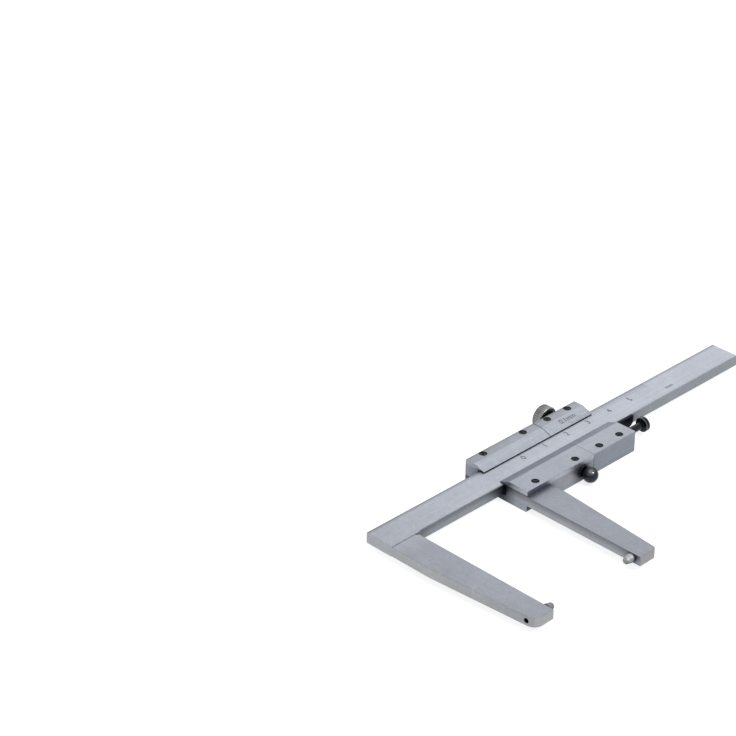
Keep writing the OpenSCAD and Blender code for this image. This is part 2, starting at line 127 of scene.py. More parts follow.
class GaugeFinishes(bpy.types.PropertyGroup):
    """Colours of the metals. Those of the springs and of the brass are the record's."""
    beam: colour("Beam", "Satin-ground face of the beam", (0.365, 0.386, 0.435))
    fixed_jaw: colour("Fixed jaw", "Surface-ground faces of the fixed jaw", (0.295, 0.31, 0.35))
    # A darker copy of the jaws' steel colour for the moving jaw: painted shade
    moving_jaw: colour("Moving jaw", "Surface-ground faces of the moving jaw", (0.268, 0.282, 0.32))
    rear_covers: colour("Rear covers", "Ground faces of the cover plates behind", (0.268, 0.285, 0.322))
    front_covers: colour("Front covers", "Ground faces of the cover plates in front", (0.298, 0.316, 0.358))
    bodies: colour("Bodies", "Milled faces of the carriages", (0.318, 0.342, 0.395))
    pins: colour("Pins", "Turned measuring pins", (0.26, 0.265, 0.27))
    # A lighter copy of the pins' colour for the moving pin: painted light
    bright_pin: colour("Bright pin", "The moving jaw's polished pin", (0.44, 0.445, 0.45))
    black: colour("Black oxide", "Screws, ball, plunger and gib strip", (0.005, 0.0058, 0.0095))
    black_sheen: colour("Black sheen", "Tint of the black oxide's reflections", (0.7, 0.83, 1.0))
    # Also the painted reflection on the ball and the painted highlight ring on the plunger's rims
    worn_black: colour("Worn black", "Bare steel where the black has worn off", (0.16, 0.16, 0.165))
    springs: colour("Springs", "Blued spring steel", SLOT_COLOURS["spring_steel"])
    brass: colour("Brass", "Clamp shoe", SLOT_COLOURS["shoe_brass"])
    nickel: colour("Nickel", "Knurled thumb screw", (0.345, 0.352, 0.358))
    # Painted shade that darkens the inner corners, where shade falls between parts
    grime: colour("Grime", "Tint that old oil gives the inner corners", (0.12, 0.123, 0.13))
    etched: colour("Etched marks", "Filling of the scale's lines and numbers", (0.06, 0.063, 0.071))


class GaugeScale(bpy.types.PropertyGroup):
    """Sizes of the beam's scale and of the vernier."""
    pitch: length("Pitch", "Distance of the beam's lines", 1.0)
    longest: count("Longest reading", "Last line of the beam's scale, in pitches", 60)
    numbered: count("Numbered to", "Last number of the beam's scale, in tens of pitches", 5)
    line_width: length("Line width", "Width of every scale line", 0.11)
    line_start: length("Line start", "From the beam's rear edge to the lines' rear ends", 0.5)
    short_line: length("Short line", "Length of the lines between fives", 2.1)
    middle_line: length("Middle line", "Length of the lines at fives", 2.35)
    long_line: length("Long line", "Length of the lines at tens", 2.6)
    number_height: length("Number height", "Height of the beam's numbers", 2.1)
    number_drop: length("Number drop", "From the beam's rear edge to the numbers' middle", 4.35)
    unit_gap: length("Unit gap", "From the last line to the middle of the unit mark", 5.4)
    unit_drop: length("Unit drop", "From the beam's rear edge to the unit mark's middle", 7.6)
    unit_height: length("Unit height", "Height of the unit mark", 1.6)
    proud: length("Proud", "Height of the marks' filling above the steel", 0.012)
    vernier_inset: length("Vernier inset", "From the plate's left edge to the vernier's zero", 10.0)
    vernier_parts: count("Vernier parts", "Divisions of the vernier", 10)
    vernier_span: length("Vernier span", "Length of the whole vernier", 9.0)
    vernier_line: length("Vernier line", "Length of the vernier's lines", 1.2)
    label_height: length("Label height", "Height of the vernier's label", 1.85)
    label_rise: length("Label rise", "From the vernier's foot to the label's middle, in plan", 2.55)


class GaugeTurned(bpy.types.PropertyGroup):
    """Sizes of the turned and wound pieces."""
    soft_edge: length("Soft edge", "Rounding of the turned edges", 0.12)
    pin_base: length("Pin base", "Diameter of a measuring pin at its jaw", 3.1)
    pin_end: length("Pin end", "Diameter of a measuring pin's blunt end", 1.8)
    pin_length: length("Pin length", "Length of a measuring pin out of its jaw", 3.1)
    pin_rim: length("Pin rim", "Chamfer of a measuring pin's end", 0.3)
    pin_shank: length("Pin shank", "Diameter of a measuring pin in its jaw", 1.6)
    ball_shank: length("Ball shank", "Diameter of the ball's shank", 1.4)
    ball_dog: length("Ball dog", "Diameter of the shank's thin end", 1.0)
    ball_dog_length: length("Ball dog length", "Length of the shank's thin end", 1.15)
    stem: length("Plunger stem", "Diameter of the plunger's stem", 2.4)
    neck: length("Plunger neck", "Diameter of the groove under the plunger's knob", 1.9)
    neck_length: length("Plunger neck length", "Length of the groove under the plunger's knob", 0.8)
    knob_length: length("Plunger knob", "Thickness of the plunger's knob", 1.5)
    head: length("Thumb head", "Thickness of the thumb screw's head", 3.3)
    head_rim: length("Thumb rim", "Chamfer of the thumb screw's head", 0.3)
    head_wall: length("Thumb wall", "Wall round the recess of the thumb screw's head", 1.3)
    recess: length("Thumb recess", "Depth of the recess in the thumb screw's head", 1.3)
    thumb_collar: length("Thumb collar", "Diameter of the collar in the recess", 4.6)
    thumb_collar_length: length("Thumb collar length", "Collar in front of the thumb screw's head", 0.7)
    thumb_shank: length("Thumb shank", "Diameter of the thumb screw's thread", 2.5)
    thread_depth: length("Thread depth", "Depth of the thumb screw's thread", 0.2)
    thread_pitch: length("Thread pitch", "Pitch of the thumb screw's thread", 0.45)
    knurl_teeth: count("Knurl teeth", "Ridges round the thumb screw's head", 36)
    knurl_depth: length("Knurl depth", "Depth of the knurl's grooves", 0.16)
    wire: length("Spring wire", "Diameter of the return spring's wire", 0.36)
    coil_turns: count("Coil turns", "Turns of the return spring", 8)


class GaugeStage(bpy.types.PropertyGroup):
    """Camera, floor and lamps."""
    azimuth: angle("Azimuth", "Turn of the camera about the upright, 0 looks along +Y", -44.38)
    elevation: angle("Elevation", "Height of the camera above the horizon", 30.22)
    distance: number("Distance", "From the camera to the point that it looks at, in metres", 0.8965)
    aim_x: length("Aim X", "Point on the view's middle line, along the beam, left of the middle", 7.8)
    aim_y: length("Aim Y", "Point on the view's middle line, behind the middle", 100.35)
    lens: number("Lens", "Focal length on a 36 mm sensor, in millimetres", 133.29)
    floor: colour("Floor", "Lit colour of the pale floor", (0.5, 0.5, 0.5))
    floor_glow: number("Floor glow", "Share of white that the floor shows besides its lit colour", 0.76)
    ambient: number("Ambient", "Strength of the world's light on the object", 0.45)
    top_power: number("Top lamp", "Power of the large lamp overhead, in watts", 2.0)
    back_power: number("Back lamp", "Power of the lamp behind, which the flat faces mirror, in watts", 0.095)
    front_power: number("Front lamp", "Power of the lamp in front, in watts", 2.5)
    left_power: number("Left lamp", "Power of the lamp beside the fixed jaw, in watts", 0.3)


SETTINGS = {"gauge_finishes": GaugeFinishes, "gauge_scale": GaugeScale, "gauge_turned": GaugeTurned,
            "gauge_stage": GaugeStage}


# Meshes

def set_piece(name, mesh, material, body):
    """A mesh as a piece at the origin, on its body and with its finish."""
    mesh.materials.append(material)
    piece = bpy.data.objects.new(name, mesh)
    bpy.context.scene.collection.objects.link(piece)
    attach(piece, body)
    return piece


def new_piece(name, points, faces, material, body):
    """A piece with its place in its points, smooth except at sharp edges."""
    mesh = bpy.data.meshes.new(name)
    mesh.from_pydata(points.reshape(-1, 3).tolist(), [], [face.tolist() for face in faces])
    mesh.polygons.foreach_set("use_smooth", np.ones(len(mesh.polygons), dtype=bool))
    mesh.set_sharp_from_angle(angle=SHARP_EDGE)
    mesh.validate()
    return set_piece(name, mesh, material, body)


def give(piece, name, values):
    """Writes a number at each point of a piece, which its finish reads."""
    piece.data.attributes.new(name, "FLOAT", "POINT").data.foreach_set("value", values)


def grid_faces(rows, columns, close_rows):
    """Quads of a grid whose columns close on themselves, and whose rows do if close_rows is true.

    The quad of row i and column j joins (i, j), (i, j + 1), (i + 1, j + 1) and (i + 1, j).
    """
    i, j = np.meshgrid(np.arange(rows if close_rows else rows - 1), np.arange(columns), indexing="ij")
    below, beside = (i + 1) % rows, (j + 1) % columns
    corners = [i * columns + j, i * columns + beside, below * columns + beside, below * columns + j]
    return np.stack(corners, axis=-1).reshape(-1, 4)


def rounded(corners, radius, steps=5):
    """An outline with soft corners.

    Each inner corner c is cut back to a and b on its two sides, by the radius or by 45 % of the side if that
    is less, and bridged by the curve (1 - t)^2 a + 2 t (1 - t) c + t^2 b.
    """
    corners = np.asarray(corners, dtype=float)
    before, corner, after = corners[:-2], corners[1:-1], corners[2:]
    back, on = before - corner, after - corner
    back_length = np.linalg.norm(back, axis=1, keepdims=True)
    on_length = np.linalg.norm(on, axis=1, keepdims=True)
    cut = np.minimum(radius, 0.45 * np.minimum(back_length, on_length))
    a = (corner + back / back_length * cut)[:, None]
    b = (corner + on / on_length * cut)[:, None]
    t = np.linspace(0.0, 1.0, steps)[None, :, None]
    bends = (1 - t) ** 2 * a + 2 * t * (1 - t) * corner[:, None] + t ** 2 * b
    return np.concatenate([corners[:1], bends.reshape(-1, 2), corners[-1:]])


def refined(outline, spacing):
    """The outline with extra points on its long sides, so that no two are further apart than the spacing."""
    travelled = np.concatenate([[0.0], np.cumsum(np.linalg.norm(np.diff(outline, axis=0), axis=1))])
    extra = np.linspace(0.0, travelled[-1], int(math.ceil(travelled[-1] / spacing)) + 1)
    places = np.union1d(travelled, extra)
    closest = 0.002 * MM
    places = places[np.concatenate([[True], np.diff(places) > closest])]
    return np.stack([np.interp(places, travelled, outline[:, k]) for k in range(2)], axis=-1)


def turned(outline, axis, centre, steps=72, relief=None):
    """Points and faces of a turned shape, and how deep its relief is at each point.

    The outline holds (along, radius) from one end of the axis to the other, starting and ending on it. Each
    point becomes a ring (along, r cos a, r sin a) with r = radius - relief(along, radius, a), and the two
    ends become poles. The ring's coordinates are then rolled so that `along` lies on the axis.
    """
    along, radius = outline[1:-1, 0][:, None], outline[1:-1, 1][:, None]
    turn = np.linspace(0.0, 2 * np.pi, steps, endpoint=False)[None, :]
    cut = relief(along, radius, turn) if relief else np.zeros((len(along), steps))
    r = radius - cut
    rings = np.stack([along + 0 * r, r * np.cos(turn), r * np.sin(turn)], axis=-1).reshape(-1, 3)
    poles = np.array([[outline[0, 0], 0, 0], [outline[-1, 0], 0, 0]])
    points = np.roll(np.concatenate([rings, poles]), AXIS_ROLL[axis], axis=1) + np.asarray(centre)
    quads = grid_faces(len(along), steps, close_rows=False)
    j = np.arange(steps)
    beside = (j + 1) % steps
    last = (len(along) - 1) * steps
    first_cap = np.stack([beside, j, np.full(steps, len(rings))], axis=-1)
    last_cap = np.stack([last + j, last + beside, np.full(steps, len(rings) + 1)], axis=-1)
    faces = list(quads) + list(first_cap) + list(last_cap)
    return points, faces, np.concatenate([cut.ravel(), [0.0, 0.0]])


def turned_ring(section, axis, centre, steps=72):
    """Points and faces of a ring: the closed section of (along, radius) carried once round the axis."""
    along, radius = section[:, 0][:, None], section[:, 1][:, None]
    turn = np.linspace(0.0, 2 * np.pi, steps, endpoint=False)[None, :]
    rings = np.stack([along + 0 * turn, radius * np.cos(turn), radius * np.sin(turn)], axis=-1)
    points = np.roll(rings.reshape(-1, 3), AXIS_ROLL[axis], axis=1) + np.asarray(centre)
    return points, list(grid_faces(len(section), steps, close_rows=True))


def coil(start, end, radius, wire, turns, centre, steps=36, sides=12):
    """Points and faces of a coil spring along X with closed ends.

    The wire's middle runs on (start + (end - start) s, R cos w, R sin w) with w = 2 pi turns t, where s eases
    in and out so that the first and last turns lie close. A circle of the wire's radius, set up on the radial
    direction and on its cross product with the path, is carried along, and its two ends are capped.
    """
    closing = 0.55
    t = np.linspace(0.0, 1.0, turns * steps + 1)[:, None]
    eased = t - closing * np.sin(2 * np.pi * t) / (2 * np.pi)
    w = 2 * np.pi * turns * t
    path = np.concatenate([start + (end - start) * eased, radius * np.cos(w), radius * np.sin(w)], axis=1)
    ahead = np.gradient(path, axis=0)
    ahead /= np.linalg.norm(ahead, axis=1, keepdims=True)
    outward = np.concatenate([0 * w, np.cos(w), np.sin(w)], axis=1)
    side = np.cross(ahead, outward)
    turn = np.linspace(0.0, 2 * np.pi, sides, endpoint=False)[None, :, None]
    circle = outward[:, None] * np.cos(turn) + side[:, None] * np.sin(turn)
    tube = (path[:, None] + wire / 2 * circle).reshape(-1, 3) + np.asarray(centre)
    last = len(path) - 1
    caps = [np.arange(sides), np.arange(last * sides, (last + 1) * sides)[::-1]]
    quads = grid_faces(len(path), sides, close_rows=False)[:, ::-1]
    return tube, list(quads) + [caps[0][::-1], caps[1][::-1]]


def bars(starts, along, out, width, lengths, proud):
    """Points and faces of straight marks, each a thin box sunk into its surface.

    The unit box (-0.5..0.5, 0..1, -1..1) is stretched by the width in X, by the length along the mark, and by
    the depth below and the height above the surface, and set on each start.
    """
    box = np.array([[x, y, z] for z in (-1, 1) for y in (0, 1) for x in (-0.5, 0.5)], dtype=float)
    lift = np.where(box[:, 2] > 0, proud, -MARK_DEPTH)
    points = (np.asarray(starts)[:, None]
              + (box[:, 0] * width)[None, :, None] * np.array([1, 0, 0])
              + (box[:, 1] * np.asarray(lengths)[:, None])[..., None] * np.asarray(along)
              + lift[None, :, None] * np.asarray(out))
    sides = np.array([[0, 2, 3, 1], [4, 5, 7, 6], [0, 1, 5, 4], [1, 3, 7, 5], [3, 2, 6, 7], [2, 0, 4, 6]])
    faces = sides[None] + 8 * np.arange(len(points))[:, None, None]
    return points, list(faces.reshape(-1, 4))


def lettering(name, words, material, body):
    """One piece from several short words, each given as (text, height, frame).

    A frame's columns are the directions across, up and out and the middle of the word. Each word becomes a
    thin solid mesh before its place is applied.
    """
    shapes = bmesh.new()
    for text, height, place in words:
        curve = bpy.data.curves.new(name, "FONT")
        curve.body = text
        curve.size = height / CAPITAL_SHARE
        curve.align_x = "CENTER"
        curve.align_y = "CENTER"
        curve.offset = -LETTER_THINNING
        curve.extrude = LETTER_DEPTH
        curve.resolution_u = 4
        holder = bpy.data.objects.new(name, curve)
        bpy.context.scene.collection.objects.link(holder)
        bpy.context.view_layer.update()
        mesh = bpy.data.meshes.new_from_object(holder.evaluated_get(bpy.context.evaluated_depsgraph_get()))
        mesh.transform(place)
        shapes.from_mesh(mesh)
        bpy.data.objects.remove(holder)
        bpy.data.curves.remove(curve)
        bpy.data.meshes.remove(mesh)
    bmesh.ops.remove_doubles(shapes, verts=shapes.verts, dist=LETTER_WELD)
    bmesh.ops.recalc_face_normals(shapes, faces=shapes.faces)
    mesh = bpy.data.meshes.new(name)
    shapes.to_mesh(mesh)
    shapes.free()
    return set_piece(name, mesh, material, body)


def on_surface(node, x, y):
    """The point of a CAD node's upper side above (x, y), and the way that side faces."""
    above = Vector((x, y, CAD_BOX[1].z + 10 * MM))
    hit, place, facing, _ = NODES[node].ray_cast(above, Vector((0, 0, -1)))
    if not hit:
        raise RuntimeError(f"{node} has no upper side at {x}, {y}")
    return place, facing


def middle(node):
    """Middle of a CAD node's box."""
    low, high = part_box(node)
    return (low + high) / 2


# Node helpers

def set_inputs(tree, node, values):
    """Sets a node's inputs to numbers, or links them to other nodes' outputs."""
    for key, value in values.items():
        if isinstance(value, bpy.types.NodeSocket):
            tree.links.new(value, node.inputs[key])
        else:
            node.inputs[key].default_value = value


def add_node(tree, kind, values=None, **settings):
    """A shader node with its settings and inputs."""
    node = tree.nodes.new(kind)
    for key, value in settings.items():
        setattr(node, key, value)
    set_inputs(tree, node, values or {})
    return node


def new_group(name, inputs, outputs):
    """An empty shader group with its sockets: inputs as (name, kind, default), outputs as (name, kind)."""
    tree = bpy.data.node_groups.new(name, "ShaderNodeTree")
    for socket, kind, default in inputs:
        made = tree.interface.new_socket(name=socket, in_out="INPUT", socket_type="NodeSocket" + kind)
        if default is not None:
            made.default_value = default
    for socket, kind in outputs:
        tree.interface.new_socket(name=socket, in_out="OUTPUT", socket_type="NodeSocket" + kind)
    return tree, tree.nodes.new("NodeGroupInput").outputs, tree.nodes.new("NodeGroupOutput")


def maths(tree, operation, first, second):
    """The output of a Math node."""
    return add_node(tree, "ShaderNodeMath", {0: first, 1: second}, operation=operation).outputs[0]


def product(tree, first, *others):
    """The product of several values."""
    for other in others:
        first = maths(tree, "MULTIPLY", first, other)
    return first


def ranged(tree, value, low, high, to_low=0.0, to_high=1.0):
    """The output of a Map Range node that keeps to its range."""
    node = add_node(tree, "ShaderNodeMapRange", {"Value": value, "From Min": low, "From Max": high,
                                                 "To Min": to_low, "To Max": to_high})
    return node.outputs[0]


def between(tree, share, low, high):
    """A value from low to high, as the share goes from 0 to 1."""
    return ranged(tree, share, 0.0, 1.0, low, high)


def around(tree, share, spread):
    """A shade from 1 - spread to 1 + spread, as the share goes from 0 to 1."""
    return between(tree, share, 1.0 - spread, 1.0 + spread)


def mixed(tree, factor, first, second, blend="MIX"):
    """The colour output of a Mix node."""
    node = add_node(tree, "ShaderNodeMix", {0: factor, 6: first, 7: second}, data_type="RGBA",
                    blend_type=blend)
    return node.outputs[2]


def shaded(tree, tone, shade):
    """A colour times a shade."""
    return mixed(tree, 1.0, tone, shade, blend="MULTIPLY")


def noise(tree, vector, scale, detail, roughness=0.5, distortion=0.0):
    """The value of a Noise Texture node."""
    values = {"Vector": vector, "Scale": scale, "Detail": detail, "Roughness": roughness,
              "Distortion": distortion}
    return add_node(tree, "ShaderNodeTexNoise", values).outputs[0]


def parts_of(tree, vector):
    """The X, Y and Z of a vector."""
    return add_node(tree, "ShaderNodeSeparateXYZ", {0: vector}).outputs


def attribute(tree, name):
    """A number that the piece holds at its points."""
    return add_node(tree, "ShaderNodeAttribute", attribute_name=name).outputs["Fac"]


def tinted(rgb, tint):
    """A colour times a tint, given as one shade or as three."""
    return tuple(np.multiply(rgb, tint) * np.ones(3))


def opaque(rgb):
    """A colour with its alpha."""
    return (*rgb, 1.0)


# Shared effects

def grinding_group(name):
    """Grinding lines: noise stretched along the wheel's path, fine lines over coarse ones."""
    tree, given, out = new_group(name, [("Vector", "Vector", None), ("Density", "Vector", None)],
                                 [("Lines", "Float"), ("Streaks", "Float")])
    stretched = add_node(tree, "ShaderNodeVectorMath", {0: given["Vector"], 1: given["Density"]},
                         operation="MULTIPLY").outputs[0]
    fine = noise(tree, stretched, scale=1.0, detail=3.0, roughness=0.6)
    coarse = noise(tree, stretched, scale=0.16, detail=4.0, roughness=0.7)
    set_inputs(tree, out, {"Lines": ranged(tree, fine, 0.3, 0.7),
                           "Streaks": ranged(tree, coarse, 0.32, 0.68)})
    return tree


def cloud_group(name):
    """Handling marks: soft clouds in the tone, the fine grain of the metal, and smudges."""
    tree, given, out = new_group(name, [("Vector", "Vector", None), ("Cloud Scale", "Float", 70.0),
                                        ("Grain Scale", "Float", 6000.0)],
                                 [("Clouds", "Float"), ("Grain", "Float"), ("Smudges", "Float")])
    clouds = noise(tree, given["Vector"], given["Cloud Scale"], detail=3.0, roughness=0.55, distortion=0.4)
    grain = noise(tree, given["Vector"], given["Grain Scale"], detail=2.0)
    smudge_scale = maths(tree, "MULTIPLY", given["Cloud Scale"], 8.0)
    smudges = noise(tree, given["Vector"], smudge_scale, detail=5.0, roughness=0.7, distortion=1.2)
    set_inputs(tree, out, {"Clouds": ranged(tree, clouds, 0.3, 0.7), "Grain": ranged(tree, grain, 0.25, 0.75),
                           "Smudges": ranged(tree, smudges, 0.45, 0.75)})
    return tree


def edge_group(name):
    """Broken edges: a mask where the rounded normal leaves the face's own, broken up by noise."""
    tree, given, out = new_group(name, [("Vector", "Vector", None), ("Radius", "Float", 0.1 * MM)],
                                 [("Wear", "Float"), ("Normal", "Vector")])
    round_normal = add_node(tree, "ShaderNodeBevel", {"Radius": given["Radius"]}, samples=6).outputs[0]
    own_normal = add_node(tree, "ShaderNodeNewGeometry").outputs["Normal"]
    agree = add_node(tree, "ShaderNodeVectorMath", {0: round_normal, 1: own_normal},
                     operation="DOT_PRODUCT").outputs["Value"]
    patches = noise(tree, given["Vector"], scale=900.0, detail=3.0)
    wear = product(tree, ranged(tree, agree, 0.99, 0.86), ranged(tree, patches, 0.3, 0.6, 0.35, 1.0))
    set_inputs(tree, out, {"Wear": wear, "Normal": round_normal})
    return tree


def side_group(name):
    """Sides of a plate by the way that they face, for the painted light and shade of each.

    Faces is 1 on faces that look up or down and 0 on upright edges. The other masks are of the edges that
    look along X, to the left and forwards, and of the bevels that look forwards and backwards.
    """
    masks = ("Faces", "Ends", "Left", "Front", "Front Bevel", "Rear Bevel")
    tree, given, out = new_group(name, [("Normal", "Vector", None)], [(mask, "Float") for mask in masks])
    x, y, z = parts_of(tree, given["Normal"])
    faces = ranged(tree, maths(tree, "ABSOLUTE", z, 0.0), 0.35, 0.75)
    set_inputs(tree, out, {
        "Faces": faces,
        "Ends": ranged(tree, maths(tree, "ABSOLUTE", x, 0.0), 0.6, 0.8),
        "Left": ranged(tree, x, -0.6, -0.8),
        "Front": ranged(tree, y, -0.75, -0.9),
        "Front Bevel": product(tree, faces, ranged(tree, y, -0.15, -0.25)),
        "Rear Bevel": product(tree, faces, ranged(tree, y, 0.15, 0.25)),
    })
    return tree


def corner_group(name):
    """Inner corners: a mask for painted shade, which grows where other surfaces stand close in front."""
    tree, given, out = new_group(name, [("Reach", "Float", 9 * MM)], [("Corners", "Float")])
    openness = add_node(tree, "ShaderNodeAmbientOcclusion", {"Distance": given["Reach"]}, samples=8)
    set_inputs(tree, out, {"Corners": ranged(tree, openness.outputs["AO"], 0.95, 0.4)})
    return tree


def speck_group(name):
    """Small bright specks: the middles of scattered cells, kept where the cell's own chance is high."""
    tree, given, out = new_group(name, [("Vector", "Vector", None), ("Scale", "Float", 650.0)],
                                 [("Specks", "Float")])
    cells = add_node(tree, "ShaderNodeTexVoronoi", {"Vector": given["Vector"], "Scale": given["Scale"]})
    dot = ranged(tree, cells.outputs["Distance"], 0.24, 0.1)
    chance = parts_of(tree, cells.outputs["Color"])[0]
    set_inputs(tree, out, {"Specks": product(tree, dot, ranged(tree, chance, 0.72, 0.95))})
    return tree


GROUPS = {"grinding lines": grinding_group, "clouds and grain": cloud_group, "broken edges": edge_group,
          "plate faces": side_group, "inner corners": corner_group, "bright specks": speck_group}


def place_group(tree, name, values):
    """A shared group set in a material with this material's own values, made when it is first asked for."""
    made = bpy.data.node_groups.get(name) or GROUPS[name](name)
    return add_node(tree, "ShaderNodeGroup", values, node_tree=made).outputs


# Finishes

def new_metal(name, roughness, metallic):
    """A material with its Principled BSDF, Object coordinates and object-space normal."""
    material = bpy.data.materials.new(name)
    material.use_nodes = True
    tree = material.node_tree
    shader = tree.nodes["Principled BSDF"]
    set_inputs(tree, shader, {"Metallic": metallic, "Roughness": roughness})
    where = add_node(tree, "ShaderNodeTexCoord").outputs
    return material, tree, shader, where


# Painted shade on the sides of a plate that `facing` names, or painted light where the shade is above 1.
# It grows along Y or Z over the depth, and is full at dark_at and past it. A negative depth grows the other
# way. Along X it lies between start and end, with soft ends as long as the ease. It takes its share of the
# front bevel and leaves its share of the painted corner shade.
Fade = namedtuple("Fade", "facing along dark_at depth shade start end ease bevel oil",
                  defaults=(MM, 0.0, 1.0))


def lay_fades(tree, fades, place, sides, tone, corner_shade_mask):
    """The tone with its painted fades laid over it, and what they leave of the painted corner shade."""
    for fade in fades:
        from_start = ranged(tree, place[0], fade.start, fade.start + fade.ease)
        to_end = ranged(tree, place[0], fade.end, fade.end - fade.ease)
        depth = ranged(tree, place[fade.along], fade.dark_at - fade.depth, fade.dark_at)
        on_bevel = maths(tree, "MULTIPLY", sides["Front Bevel"], fade.bevel)
        on_side = maths(tree, "MAXIMUM", sides[fade.facing], on_bevel)
        amount = product(tree, from_start, to_end, depth, on_side)
        full = shaded(tree, tone, opaque(tinted((1.0, 1.0, 1.0), fade.shade)))
        tone = mixed(tree, amount, tone, full)
        corner_shade_mask = product(tree, corner_shade_mask, between(tree, amount, 1.0, fade.oil))
    return tone, corner_shade_mask


def ground_light(tree, lines, clouds, specks, line_contrast, cloud_contrast):
    """Light and dark of a ground face: soft clouds, grinding streaks and lines, smudges and bright specks."""
    light = product(tree, around(tree, clouds["Clouds"], cloud_contrast),
                    around(tree, lines["Streaks"], line_contrast),
                    around(tree, lines["Lines"], line_contrast),
                    between(tree, clouds["Smudges"], 0.93, 1.13))
    glints = maths(tree, "MULTIPLY", specks["Specks"], 0.22)
    return maths(tree, "ADD", light, glints)


def plate_steel(name, face, upright, density, roughness, line_contrast, cloud_contrast, rim,
                bevels=(1.0, 1.0), fades=(), edge=0.14 * MM):
    """Ground plate: faces with grinding lines and soft clouds, plainer edges, broken corners and painted
    shade in the inner corners.

    The upright faces have two tints of the face's colour, for those that look along X and along Y, and the
    bevels have two, for those that face forwards and backwards: painted light and shade for the way each
    looks. The density gives the grinding lines per metre along X, Y and Z, small along the wheel's path. The
    rim is the tint of the broken corners, worn steel whose tint also paints an edge highlight above 1 and edge
    shade below 1, and the edge is their width.
    """
    material, tree, shader, where = new_metal(name, roughness, 1.0)
    lines = place_group(tree, "grinding lines", {"Vector": where["Object"], "Density": density})
    clouds = place_group(tree, "clouds and grain", {"Vector": where["Object"]})
    edges = place_group(tree, "broken edges", {"Vector": where["Object"], "Radius": edge})
    sides = place_group(tree, "plate faces", {"Normal": where["Normal"]})
    corners = place_group(tree, "inner corners", {})
    specks = place_group(tree, "bright specks", {"Vector": where["Object"]})
    # Painted light and shade by the way the faces look: tints for the upright faces and for the bevels
    along_x, along_y = (opaque(tinted(face, tint)) for tint in upright)
    front, rear = (opaque(tinted(face, tint)) for tint in bevels)
    tone = mixed(tree, sides["Faces"], mixed(tree, sides["Ends"], along_y, along_x), opaque(face))
    tone = mixed(tree, sides["Rear Bevel"], tone, rear)
    tone = mixed(tree, sides["Front Bevel"], tone, front)
    # Painted shade in the inner corners spreads on upright faces, and keeps close to the corners on flat ones
    falloff = between(tree, sides["Faces"], 0.75, 3.2)
    corner_shade_mask = maths(tree, "POWER", corners["Corners"], falloff)
    tone, corner_shade_mask = lay_fades(tree, fades, parts_of(tree, where["Object"]), sides, tone, corner_shade_mask)
    # Painted shade: the tone darkens towards the corner shade tint where the corner mask grows
    grime = opaque(bpy.context.scene.gauge_finishes.grime)
    tone = mixed(tree, corner_shade_mask, tone, shaded(tree, tone, grime))
    tone = shaded(tree, tone, ground_light(tree, lines, clouds, specks, line_contrast, cloud_contrast))
    # Worn broken corners, whose rim tint also paints an edge highlight above 1 and edge shade below 1
    tone = mixed(tree, edges["Wear"], tone, shaded(tree, tone, opaque(rim)))
    rough = maths(tree, "ADD", between(tree, lines["Lines"], roughness - 0.06, roughness + 0.06),
                  between(tree, clouds["Smudges"], 0.0, 0.07))
    height = maths(tree, "ADD", lines["Lines"], maths(tree, "MULTIPLY", clouds["Grain"], 0.4))
    bump = add_node(tree, "ShaderNodeBump", {"Strength": 0.25, "Distance": 0.004 * MM, "Height": height,
                                             "Normal": edges["Normal"]})
    set_inputs(tree, shader, {"Base Color": tone, "Roughness": rough, "Normal": bump.outputs[0]})
    return material


def blackened_steel(name, roughness, gloss, edge, tint=1.0, wear_and_sheen=False):
    """Black-oxide steel: oiled black with fine grain, and grey where the corners have worn through.

    When asked, it is also grey where the piece's worn attribute says: a painted reflection on the ball, and
    worn rims on the plunger that also paint a highlight ring.
    """
    colours = bpy.context.scene.gauge_finishes
    black = tinted(colours.black, tint)
    material, tree, shader, where = new_metal(name, roughness, 0.0)
    clouds = place_group(tree, "clouds and grain", {"Vector": where["Object"], "Cloud Scale": 400.0,
                                                    "Grain Scale": 9000.0})
    edges = place_group(tree, "broken edges", {"Vector": where["Object"], "Radius": edge})
    tone = mixed(tree, clouds["Clouds"], opaque(tinted(black, 0.55)), opaque(black))
    wear = maths(tree, "MULTIPLY", edges["Wear"], 0.55)
    if wear_and_sheen:
        wear = maths(tree, "MAXIMUM", wear, attribute(tree, "worn"))
    bump = add_node(tree, "ShaderNodeBump", {"Strength": 0.2, "Distance": 0.006 * MM,
                                             "Height": clouds["Grain"], "Normal": edges["Normal"]})
    set_inputs(tree, shader, {
        "Base Color": mixed(tree, wear, tone, opaque(colours.worn_black)),
        "Roughness": between(tree, clouds["Smudges"], 0.85 * roughness, 1.25 * roughness),
        "Metallic": wear,
        "Specular IOR Level": gloss,
        "Specular Tint": opaque(colours.black_sheen),
        "Normal": bump.outputs[0],
    })
    return material


